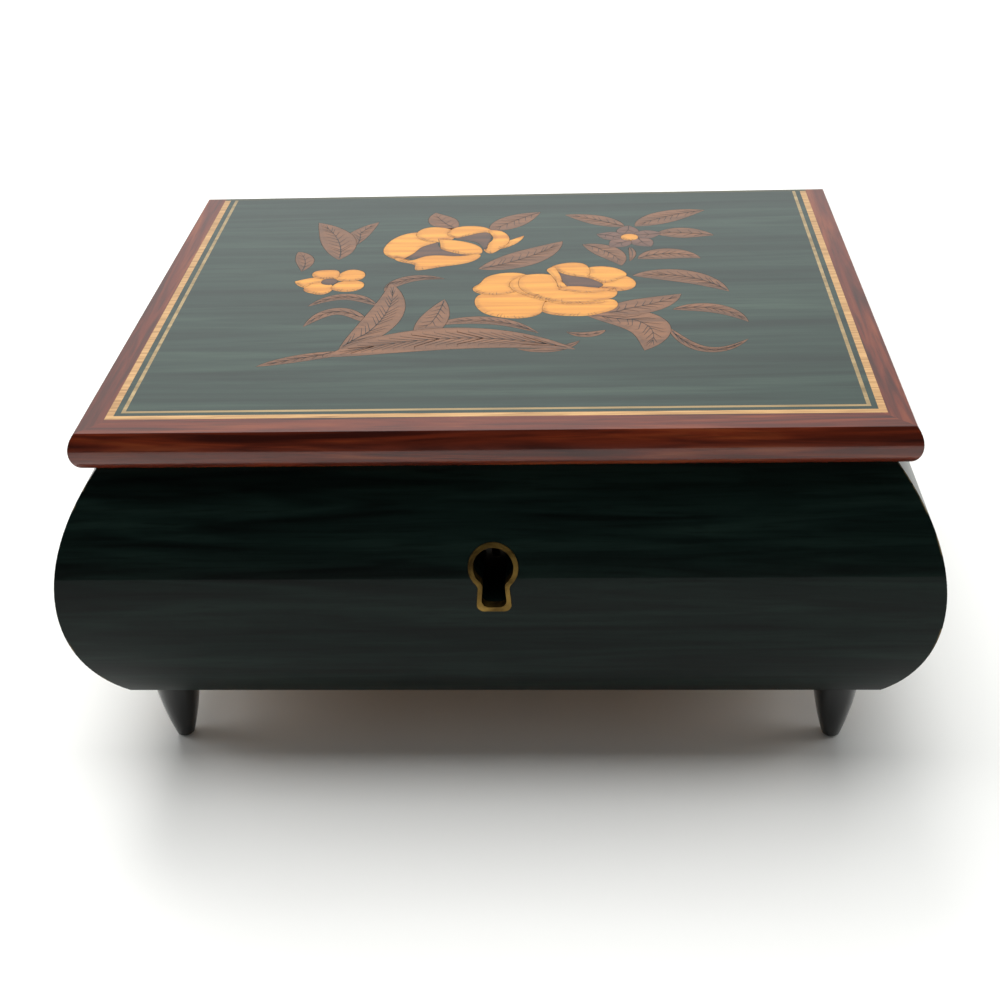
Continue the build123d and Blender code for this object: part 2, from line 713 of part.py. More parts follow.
drive_tooth_width = pi * drive_module / 2 - gear_backlash
governor_tooth_width = pi * governor_module / 2 - governor_backlash
comb_tip_y = axis_y - cylinder_radius - cylinder_pin_height - comb_tip_gap
comb_body_y = comb_tip_y - comb_tooth_length
comb_end_y = comb_body_y - comb_body_width
comb_top = axis_z + comb_thickness / 2
comb_seat_z = comb_top - comb_body_thickness
comb_screw_spots = [(cylinder_left + cylinder_length * share, comb_end_y + comb_body_width / 2)
                    for share in (0.25, 0.75)]
leg_hole_depth = plate_leg_height + plate_thickness - slot_depth

with BuildPart() as bedplate:
    with Locations((bay_x, bay_y, plate_bottom)):
        Box(plate_length, plate_width, plate_thickness,
            align=(Align.CENTER, Align.CENTER, Align.MIN))
    fillet(bedplate.edges().filter_by(Axis.Z), radius=plate_corner)
    with Locations([(x, y, base_top) for x, y in leg_spots]):
        Cylinder(plate_leg_radius, plate_leg_height, align=(Align.CENTER, Align.CENTER, Align.MIN))
    with Locations([(x, y, base_top) for x, y in leg_spots]):
        Cylinder(movement_screw_radius + glue_gap, leg_hole_depth, mode=Mode.SUBTRACT,
                 align=(Align.CENTER, Align.CENTER, Align.MIN))
    # Hollow under the cylinder, for its pins.
    axle(cylinder_left - moving_gap, cylinder_right + moving_gap, axis_y, axis_z,
         cylinder_radius + cylinder_pin_height + moving_gap, mode=Mode.SUBTRACT)
    # Seat for the comb.
    with Locations((cylinder_left - comb_margin, comb_end_y, plate_top)):
        Box(cylinder_length + 2 * comb_margin, comb_body_width, comb_seat_z - plate_top,
            align=Align.MIN)
    with Locations([(x, y, comb_seat_z) for x, y in comb_screw_spots]):
        Cylinder(comb_screw_radius + glue_gap, comb_seat_z - plate_top, mode=Mode.SUBTRACT,
                 align=(Align.CENTER, Align.CENTER, Align.MAX))
    # Bearing arm at the driven end of the cylinder.
    with Locations((right_bearing_x, axis_y, plate_top)):
        Box(bearing_thickness, 2 * bearing_arm_half, axis_z - plate_top,
            align=(Align.MIN, Align.CENTER, Align.MIN))
    axle(right_bearing_x, right_bearing_x + bearing_thickness, axis_y, axis_z, bearing_arm_half)
    axle(right_bearing_x, right_bearing_x + bearing_thickness, axis_y, axis_z,
         cylinder_arbor_radius + running_gap, mode=Mode.SUBTRACT)
    # Bearing of the winding arbor, and the foot bearing of the worm.
    with Locations((barrel_x, axis_y, plate_bottom)):
        Cylinder(arbor_radius + running_gap, plate_thickness, mode=Mode.SUBTRACT,
                 align=(Align.CENTER, Align.CENTER, Align.MIN))
    with Locations((worm_x, worm_y, plate_top)):
        Cylinder(worm_shaft_radius + running_gap, worm_pivot_depth, mode=Mode.SUBTRACT,
                 align=(Align.CENTER, Align.CENTER, Align.MAX))
save(bedplate, "bedplate")

with BuildPart() as movement_screws:
    with Locations([(x, y, wall_bottom) for x, y in leg_spots]):
        Cylinder(movement_screw_head_radius, movement_screw_head,
                 align=(Align.CENTER, Align.CENTER, Align.MIN))
        Cylinder(movement_screw_radius, base_thickness + leg_hole_depth - thread_end,
                 align=(Align.CENTER, Align.CENTER, Align.MIN))
        Box(2 * movement_screw_head_radius, slot_width, slot_depth, mode=Mode.SUBTRACT,
            align=(Align.CENTER, Align.CENTER, Align.MIN))
save(movement_screws, "movement_screws")

with BuildPart() as comb:
    pitch = cylinder_length / tooth_count
    with Locations((cylinder_left - comb_margin, comb_end_y, comb_seat_z)):
        Box(cylinder_length + 2 * comb_margin, comb_body_width, comb_body_thickness,
            align=Align.MIN)
    with Locations((cylinder_left, comb_body_y, comb_top)):
        Box(cylinder_length, comb_tooth_length, comb_thickness,
            align=(Align.MIN, Align.MIN, Align.MAX))
    slits = [(cylinder_left + pitch * number, comb_tip_y, comb_top)
             for number in range(1, tooth_count)]
    with Locations(slits):
        Box(comb_slit, comb_tooth_length - comb_slit_end, 3 * comb_thickness, mode=Mode.SUBTRACT,
            align=(Align.CENTER, Align.MAX, Align.CENTER))
    with Locations([(x, y, comb_top) for x, y in comb_screw_spots]):
        Cylinder(comb_screw_radius + glue_gap, comb_body_thickness, mode=Mode.SUBTRACT,
                 align=(Align.CENTER, Align.CENTER, Align.MAX))
save(comb, "comb")

with BuildPart() as comb_screws:
    with Locations([(x, y, comb_top) for x, y in comb_screw_spots]):
        Cylinder(2 * comb_screw_radius, comb_screw_head,
                 align=(Align.CENTER, Align.CENTER, Align.MIN))
        Cylinder(comb_screw_radius, comb_top - plate_top - thread_end,
                 align=(Align.CENTER, Align.CENTER, Align.MAX))
    with Locations([(x, y, comb_top + comb_screw_head) for x, y in comb_screw_spots]):
        Box(5 * comb_screw_radius, slot_width, slot_depth, mode=Mode.SUBTRACT)
save(comb_screws, "comb_screws")

with BuildPart() as spring_barrel:
    with Locations((barrel_x, axis_y, barrel_bottom)):
        Cylinder(crown_radius + crown_face / 2, crown_disc,
                 align=(Align.CENTER, Align.CENTER, Align.MIN))
        Cylinder(barrel_radius, barrel_height, align=(Align.CENTER, Align.CENTER, Align.MIN))
    with Locations((barrel_x, axis_y, barrel_bottom + crown_disc)):
        Cylinder(barrel_radius - barrel_wall, barrel_height, mode=Mode.SUBTRACT,
                 align=(Align.CENTER, Align.CENTER, Align.MIN))
    # Crown teeth that drive the cylinder, with a gap under the pinion's lowest tooth.
    crown_root = barrel_bottom + crown_disc
    with BuildPart(mode=Mode.PRIVATE) as crown_tooth:
        with BuildSketch(Plane(origin=(crown_radius - crown_face / 2, 0, 0), x_dir=(0, 1, 0),
                               z_dir=(1, 0, 0))):
            Polygon((-drive_tooth_width * tooth_root_share, -tooth_sink),
                    (drive_tooth_width * tooth_root_share, -tooth_sink),
                    (drive_tooth_width * tooth_tip_share, crown_tooth_height),
                    (-drive_tooth_width * tooth_tip_share, crown_tooth_height), align=None)
        extrude(amount=crown_face)
    with Locations((barrel_x, axis_y, crown_root)):
        with PolarLocations(0, crown_teeth, start_angle=180 / crown_teeth):
            add(crown_tooth.part)
    with Locations((barrel_x, axis_y, barrel_bottom)):
        Cylinder(arbor_radius + running_gap, crown_disc, mode=Mode.SUBTRACT,
                 align=(Align.CENTER, Align.CENTER, Align.MIN))
save(spring_barrel, "spring_barrel")

with BuildPart() as barrel_lid:
    with Locations((barrel_x, axis_y, barrel_bottom + barrel_height)):
        Cylinder(barrel_radius - barrel_wall - glue_gap, barrel_lid_thickness,
                 align=(Align.CENTER, Align.CENTER, Align.MAX))
        Cylinder(arbor_radius + running_gap, barrel_lid_thickness, mode=Mode.SUBTRACT,
                 align=(Align.CENTER, Align.CENTER, Align.MAX))
save(barrel_lid, "barrel_lid")

mainspring_thickness = 0.35
mainspring_turns = 6
spring_room = 0.3             # above and below the coil
spring_inner = arbor_radius + 2 * moving_gap
spring_outer = barrel_radius - barrel_wall - 2 * mainspring_thickness - 2 * glue_gap
spring_bottom = barrel_bottom + crown_disc + spring_room
spring_height = barrel_height - crown_disc - barrel_lid_thickness - 2 * spring_room


def spiral_point(turn, lift):
    """Point of the coiled spring after this many turns, lift outside its inner face."""
    radius = spring_inner + (spring_outer - spring_inner) * turn / mainspring_turns + lift
    return (radius * cos(2 * pi * turn), radius * sin(2 * pi * turn))


with BuildPart() as mainspring:
    steps_per_turn = 12
    turns = [step / steps_per_turn for step in range(mainspring_turns * steps_per_turn + 1)]
    with BuildSketch(Plane(origin=(barrel_x, axis_y, spring_bottom))):
        with BuildLine():
            inner_face = Spline(*[spiral_point(turn, 0) for turn in turns])
            outer_face = Spline(*[spiral_point(turn, mainspring_thickness) for turn in turns])
            Line(inner_face @ 0, outer_face @ 0)
            Line(inner_face @ 1, outer_face @ 1)
        make_face()
    extrude(amount=spring_height)
save(mainspring, "mainspring")

key_hub_radius = 3.4
key_hub_height = 8.0
key_hub_drop = 4.0            # hub's top below the underside of the base
key_wing_offset = 7.6
key_wing_height = 4.4
key_wing_length = 5.2
key_wing_hole_radius = 1.5
key_wing_hole_out = 0.6       # hole beyond the middle of the wing
key_thickness = 1.7
arbor_end_lift = 1.2          # arbor's lower end above the hub's
arbor_end = 1.2               # arbor above the barrel
arbor_bevel = 0.4
key_hub_top = wall_bottom - key_hub_drop
key_hub_bottom = key_hub_top - key_hub_height
key_low_z = key_hub_bottom + key_hub_height / 2 - arbor_bevel
arbor_low_z = key_hub_bottom + arbor_end_lift

with BuildPart() as winding_arbor:
    with Locations((barrel_x, axis_y, arbor_low_z)):
        Cylinder(arbor_radius, barrel_bottom + barrel_height + arbor_end - arbor_low_z,
                 align=(Align.CENTER, Align.CENTER, Align.MIN))
    chamfer(winding_arbor.edges().filter_by(GeomType.CIRCLE), length=arbor_bevel)
save(winding_arbor, "winding_arbor")

with BuildPart() as winding_key:
    with BuildSketch(Plane(origin=(barrel_x, axis_y, 0), x_dir=(1, 0, 0), z_dir=(0, -1, 0))):
        for side_sign in (-1, 1):
            with Locations((side_sign * key_wing_offset, key_low_z)):
                Ellipse(key_wing_length, key_wing_height)
        with Locations((0, key_low_z)):
            Rectangle(2 * key_wing_offset, key_wing_height)
        for side_sign in (-1, 1):
            with Locations((side_sign * (key_wing_offset + key_wing_hole_out), key_low_z)):
                Circle(key_wing_hole_radius, mode=Mode.SUBTRACT)
    extrude(amount=key_thickness / 2, both=True)
    with Locations((barrel_x, axis_y, key_hub_bottom)):
        Cylinder(key_hub_radius, key_hub_top - key_hub_bottom,
                 align=(Align.CENTER, Align.CENTER, Align.MIN))
    with Locations((barrel_x, axis_y, arbor_low_z)):
        Cylinder(arbor_radius + glue_gap, key_hub_top - arbor_low_z, mode=Mode.SUBTRACT,
                 align=(Align.CENTER, Align.CENTER, Align.MIN))
save(winding_key, "winding_key")

with BuildPart() as music_cylinder:
    axle(cylinder_left, cylinder_right, axis_y, axis_z, cylinder_radius)
    axle(cylinder_left + cylinder_wall, cylinder_right - cylinder_wall, axis_y, axis_z,
         cylinder_radius - cylinder_wall, mode=Mode.SUBTRACT)
    axle(cylinder_left, cylinder_right, axis_y, axis_z, cylinder_arbor_radius + glue_gap,
         mode=Mode.SUBTRACT)
save(music_cylinder, "music_cylinder")


def pin_angles(track):
    """Angles of the pins on one track: a plain spread-out pattern, not a tune."""
    count = 3 + track % 3
    return [(track * 47 + step * 360 / count + 17 * (step % 2)) % 360 for step in range(count)]


with BuildPart() as cylinder_pins:
    for track in range(tooth_count):
        track_x = cylinder_left + (track + 0.5) * pitch
        for angle in pin_angles(track):
            pin_plane = Plane(
                origin=(track_x, axis_y + cylinder_radius * cos(radians(angle)),
                        axis_z + cylinder_radius * sin(radians(angle))),
                z_dir=(0, cos(radians(angle)), sin(radians(angle))))
            with BuildSketch(pin_plane):
                Circle(cylinder_pin_radius)
            extrude(amount=cylinder_pin_height)
save(cylinder_pins, "cylinder_pins")

with BuildPart() as cylinder_arbor:
    drive_plane = axle_plane(drive_pinion_x, axis_y, axis_z)
    extrude(toothed_disc(drive_plane, pinion_teeth, drive_pinion_radius - tooth_dedendum,
                         drive_pinion_radius + tooth_addendum, drive_tooth_width),
            amount=crown_face / 2, both=True)
    extrude(toothed_disc(axle_plane(governor_gear_x, axis_y, axis_z), governor_gear_teeth,
                         governor_gear_radius - governor_module,
                         governor_gear_radius + governor_addendum, governor_tooth_width),
            amount=gear_thickness)
    axle(governor_gear_x - pinion_side, drive_pinion_x + crown_face / 2, axis_y, axis_z,
         cylinder_arbor_radius)
save(cylinder_arbor, "cylinder_arbor")

with BuildPart() as governor_wheel:
    extrude(toothed_disc(axle_plane(governor_gear_x - pinion_side, governor_y, axis_z),
                         governor_pinion_teeth, governor_pinion_radius - governor_module,
                         governor_pinion_radius + governor_addendum, governor_tooth_width,
                         first_angle=180 / governor_pinion_teeth),
            amount=gear_thickness + pinion_side)
    extrude(toothed_disc(axle_plane(worm_x, governor_y, axis_z), worm_wheel_teeth,
                         worm_wheel_radius - worm_wheel_tooth, worm_wheel_radius, worm_wheel_tooth),
            amount=worm_wheel_thickness / 2, both=True)
    axle(bracket_left_x - bearing_thickness, left_bearing_x + bearing_thickness,
         governor_y, axis_z, pivot_radius)
save(governor_wheel, "governor_wheel")

with BuildPart() as governor_fly:
    pivot_bottom = plate_top - worm_pivot_depth + running_gap
    with Locations((worm_x, worm_y, pivot_bottom)):
        Cylinder(worm_shaft_radius, fly_bottom + fly_height - pivot_bottom,
                 align=(Align.CENTER, Align.CENTER, Align.MIN))
    with Locations((worm_x, worm_y, axis_z)):
        Cylinder(worm_radius - worm_thread, 2 * worm_half_length)
        for ring in range(-worm_rings, worm_rings + 1):
            with Locations((0, 0, ring * worm_pitch)):
                Cone(worm_radius, worm_radius - worm_thread, worm_pitch / 3,
                     align=(Align.CENTER, Align.CENTER, Align.MIN))
                Cone(worm_radius - worm_thread, worm_radius, worm_pitch / 3,
                     align=(Align.CENTER, Align.CENTER, Align.MAX))
    with Locations((worm_x, worm_y, fly_bottom)):
        Cylinder(2 * worm_shaft_radius, fly_height - fly_corner / 2,
                 align=(Align.CENTER, Align.CENTER, Align.MIN))
        with BuildPart(mode=Mode.PRIVATE) as vanes:
            with Locations((0, 0, fly_height / 2)):
                Box(2 * fly_radius, fly_thickness, fly_height)
            fillet(vanes.edges().filter_by(Axis.Y), radius=fly_corner)
        add(vanes.part)
save(governor_fly, "governor_fly")

bearing_rim = 1.6             # metal beyond a pivot
foot_strip = 3.0              # strip that joins the bracket's two plates
lever_pin_reach = 1.0
lever_width = 1.0
lever_boss_radius = 1.1
lever_end = 0.6               # lever beyond the rod's axis

with BuildPart() as governor_bracket:
    rim = pivot_radius + bearing_rim
    left_low_y = worm_y - bearing_rim
    right_low_y = axis_y - cylinder_arbor_radius - bearing_rim
    right_high_y = governor_y + rim
    left_x = bracket_left_x - bearing_thickness
    with Locations((left_x, left_low_y, plate_top)):
        Box(bearing_thickness, right_high_y - left_low_y, bracket_top - plate_top,
            align=Align.MIN)
    with Locations((left_x, lever_pivot_y, plate_top)):
        Box(bearing_thickness, 2 * bearing_rim, lever_z + bearing_rim - plate_top,
            align=(Align.MIN, Align.CENTER, Align.MIN))
    with Locations((left_bearing_x, right_low_y, plate_top)):
        Box(bearing_thickness, right_high_y - right_low_y, axis_z + rim - plate_top,
            align=Align.MIN)
    with Locations((left_x, right_high_y, plate_top)):
        Box(left_bearing_x + bearing_thickness - left_x, foot_strip, bearing_thickness,
            align=(Align.MIN, Align.MAX, Align.MIN))
    with Locations((left_x, worm_y, bracket_top)):
        Box(worm_x + bearing_rim - left_x, 2 * bearing_rim, bearing_thickness,
            align=(Align.MIN, Align.CENTER, Align.MAX))
    axle(bracket_left_x, stop_x + lever_pin_reach, lever_pivot_y, lever_z, worm_shaft_radius)
    # Bearings.
    axle(left_x, left_bearing_x + bearing_thickness, governor_y, axis_z,
         pivot_radius + running_gap, mode=Mode.SUBTRACT)
    axle(left_bearing_x, left_bearing_x + bearing_thickness, axis_y, axis_z,
         cylinder_arbor_radius + running_gap, mode=Mode.SUBTRACT)
    with Locations((worm_x, worm_y, bracket_top)):
        Cylinder(worm_shaft_radius + running_gap, bearing_thickness, mode=Mode.SUBTRACT,
                 align=(Align.CENTER, Align.CENTER, Align.MAX))
save(governor_bracket, "governor_bracket")

with BuildPart() as stop_lever:
    lever_back = lever_arm + lever_end
    with BuildSketch(axle_plane(stop_x, lever_pivot_y, lever_z)):
        with Locations(((lever_back - lever_front) / 2, 0)):
            Rectangle(lever_back + lever_front, lever_thickness)
        Circle(lever_boss_radius)
        Circle(worm_shaft_radius + running_gap, mode=Mode.SUBTRACT)
    extrude(amount=lever_width / 2, both=True)
save(stop_lever, "stop_lever")

with BuildPart() as stop_rod:
    rod_bottom = lever_z + lever_thickness / 2 + moving_gap / 2
    rod_top = lid_bottom - lid_lining_thickness - moving_gap
    with Locations((stop_x, stop_rod_y, rod_bottom)):
        Cylinder(stop_rod_radius, rod_top - rod_bottom,
                 align=(Align.CENTER, Align.CENTER, Align.MIN))
    fillet(stop_rod.edges().group_by(Axis.Z)[-1], radius=stop_rod_radius / 2)
save(stop_rod, "stop_rod")

# ---------------------------------------------------------------- lid
lid_half_length = half_length + lid_overhang_side
lid_front = half_width + lid_overhang_front
lid_back = half_width
string_x = lid_half_length - moulding_side       # outer edge of the stringing
string_y = lid_front - moulding_front
core_back = lid_back - back_strip
veneer_z = lid_top - veneer
top_set_back = 1.4            # moulding's sharp top edge behind its fullest line
under_set_back = 3.0
fullest_height = 4.4
moulding_blank = 12.0


def moulding_profile(plane, outer):
    """Thumb moulding: sharp top edge, full below it, rounded under."""
    with BuildSketch(plane) as section:
        with BuildLine():
            under = EllipticalCenterArc((outer - under_set_back, lid_bottom + fullest_height),
                                        under_set_back, fullest_height, start_angle=270,
                                        arc_size=90)
            upper = TangentArc(under @ 1, (outer - top_set_back, lid_top), tangent=(0, 1))
            Polyline(upper @ 1, (outer - moulding_blank, lid_top),
                     (outer - moulding_blank, lid_bottom), under @ 0)
        make_face()
    return section.sketch


def inside_stringing(inset, back):
    """Plan of the lid inside the stringing's outer line, or inset further in."""
    with BuildSketch(Plane.XY.offset(lid_bottom)) as plan:
        with Locations((0, back)):
            Rectangle(2 * (string_x - inset), back + string_y - inset,
                      align=(Align.CENTER, Align.MAX))
    return plan.sketch


def moulding(plane, outer, mitred_region):
    """Fill the open part with one mitred length of lid moulding."""
    extrude(moulding_profile(plane, outer), amount=lid_half_length + lid_front, both=True)
    with BuildSketch(Plane.XY.offset(lid_bottom)) as region:
        Polygon(*mitred_region, align=None)
    extrude(region.sketch, amount=lid_thickness, mode=Mode.INTERSECT)
    extrude(inside_stringing(0, lid_back + cut_past), amount=lid_thickness, mode=Mode.SUBTRACT)


mitre_x = lid_half_length - moulding_blank
mitre_y = lid_front - moulding_blank

with BuildPart() as lid_edge_front:
    moulding(outward_front, lid_front,
             [(-lid_half_length, -lid_front), (lid_half_length, -lid_front),
              (mitre_x, -mitre_y), (-mitre_x, -mitre_y)])
    link_plate_recess()
save(lid_edge_front, "lid_edge_front")

for side, sign, plane in (("left", -1, outward_left), ("right", 1, outward_right)):
    with BuildPart() as lid_edge_side:
        moulding(plane, lid_half_length,
                 [(sign * lid_half_length, -lid_front), (sign * mitre_x, -mitre_y),
                  (sign * mitre_x, lid_back), (sign * lid_half_length, lid_back)])
    save(lid_edge_side, f"lid_edge_{side}")


def upper_hinge_seats():
    """Recesses for both hinges in the lid's underside and back edge."""
    for at in hinge_x:
        leaf_seat(at, lid_bottom - lid_gap, lid_bottom + hinge_leaf + glue_gap)
        hinge_relief(at)


with BuildPart() as lid_edge_back:
    with Locations((0, lid_back, lid_bottom)):
        Box(2 * string_x, back_strip, lid_thickness, align=(Align.CENTER, Align.MAX, Align.MIN))
    upper_hinge_seats()
save(lid_edge_back, "lid_edge_back")

with BuildPart() as lid_core:
    extrude(inside_stringing(0, core_back), amount=lid_thickness - veneer)
    upper_hinge_seats()
    for at in hinge_x:
        with Locations([(x, y, lid_bottom + hinge_leaf) for x, y in screw_spots(at)]):
            Cylinder(screw_shank_radius + glue_gap, screw_length, mode=Mode.SUBTRACT,
                     align=(Align.CENTER, Align.CENTER, Align.MIN))
    link_plate_recess()
save(lid_core, "lid_core")


def string_line(inset, width):
    """One inlaid line that runs round three sides of the lid."""
    with BuildSketch(Plane.XY.offset(veneer_z)) as line:
        add(inside_stringing(inset, core_back).moved(Location((0, 0, -lid_bottom))))
        add(inside_stringing(inset + width, core_back + cut_past).moved(Location((0, 0, -lid_bottom))),
            mode=Mode.SUBTRACT)
    extrude(line.sketch, amount=veneer)


dark_inset = string_outer_width
inner_inset = dark_inset + string_dark_width
field_inset = inner_inset + string_inner_width

with BuildPart() as lid_string_outer:
    string_line(0, string_outer_width)
save(lid_string_outer, "lid_string_outer")

with BuildPart() as lid_string_inner:
    string_line(inner_inset, string_inner_width)
save(lid_string_inner, "lid_string_inner")

lining_side_gap = 2.5         # inside the walls' upright faces
lining_corner = 2.0
lining_crown = 1.2

with BuildPart() as lid_lining:
    lining_half_length = inner_half_length - lining_side_gap
    lining_back = inner_half_width - lining_side_gap
    lining_front = -lining_back
    with Locations((0, lining_front, lid_bottom)):
        Box(2 * lining_half_length, lining_back - lining_front, lid_lining_thickness,
            align=(Align.CENTER, Align.MIN, Align.MAX))
    fillet(lid_lining.edges().filter_by(Axis.Z), radius=lining_corner)
    fillet(lid_lining.faces().sort_by(Axis.Z)[0].edges(), radius=lining_crown)
save(lid_lining, "lid_lining")

# ---------------------------------------------------------------- inlaid flowers
# Outlines are in the lid's own plan: x to the right, y to the back, from the pattern's centre,
# and drawn for a field of the drawn size. They stretch with the field.
drawn_half_length = 73.05
drawn_field_width = 120.3
drawn_from_back = 64.05       # pattern's centre to the back of the field
stretch_x = (string_x - field_inset) / drawn_half_length
stretch_y = (core_back + string_y - field_inset) / drawn_field_width
pattern_y = core_back - drawn_from_back * stretch_y
leaf_steps = 8
leaf_fullness = 0.85          # below 1, a blade stays wide for longer
leaf_fullest = 0.45           # share of the midrib where a blade is widest
smallest_piece = 0.8          # square millimetres; smaller offcuts are left as field


def stretched(points):
    """The points moved with the size of the field."""
    return [(x * stretch_x, y * stretch_y) for x, y in points]


def smooth_face(drawn, growth):
    """Face inside a smooth closed line through the points, grown by the saw line."""
    points = stretched(drawn)
    count = len(points)
    area = sum(points[i - 1][0] * points[i][1] - points[i][0] * points[i - 1][1]
               for i in range(count))
    turn = 1 if area > 0 else -1
    grown = []
    for i, (x, y) in enumerate(points):
        dx = points[(i + 1) % count][0] - points[i - 1][0]
        dy = points[(i + 1) % count][1] - points[i - 1][1]
        length = sqrt(dx * dx + dy * dy)
        grown.append((x + turn * growth * dy / length, y - turn * growth * dx / length))
    with BuildSketch() as face:
        with BuildLine():
            Spline(*grown, periodic=True)
        make_face()
    return face.sketch


def leaf_face(spine, width, growth):
    """Pointed blade along a curved midrib, widest part of the way along."""
    midrib = Spline(*stretched(spine))
    skew = log(0.5) / log(leaf_fullest)
    sides = ([], [])
    for step in range(1, leaf_steps):
        share = step / leaf_steps
        half = width / 2 * sin(pi * share**skew) ** leaf_fullness + growth
        at, along = midrib @ share, midrib % share
        sides[0].append((at.X - along.Y * half, at.Y + along.X * half))
        sides[1].append((at.X + along.Y * half, at.Y - along.X * half))
    root = midrib @ 0 - (midrib % 0) * growth
    tip = midrib @ 1 + (midrib % 1) * growth
    with BuildSketch() as face:
        with BuildLine():
            Spline((root.X, root.Y), *sides[0], (tip.X, tip.Y))
            Spline((tip.X, tip.Y), *reversed(sides[1]), (root.X, root.Y))
        make_face()
    return face.sketch


def round_face(centre, radius, growth):
    """Plain disc."""
    with BuildSketch() as face:
        with Locations(*stretched([centre])):
            Circle(radius + growth)
    return face.sketch


def star_point(angle, distance):
    """Point of the star flower this far from its eye."""
    return (star_x + distance * cos(radians(angle)),
            star_y + star_flattening * distance * sin(radians(angle)))


star_x = 29.8
star_y = 33.4
star_flattening = 0.94

HEARTS, ROSE, SECOND, SMALL, STAR, LEAVES = ("inlay_hearts", "inlay_rose", "inlay_second_rose",
                                            "inlay_small_flower", "inlay_star_flower",
                                            "inlay_leaves")

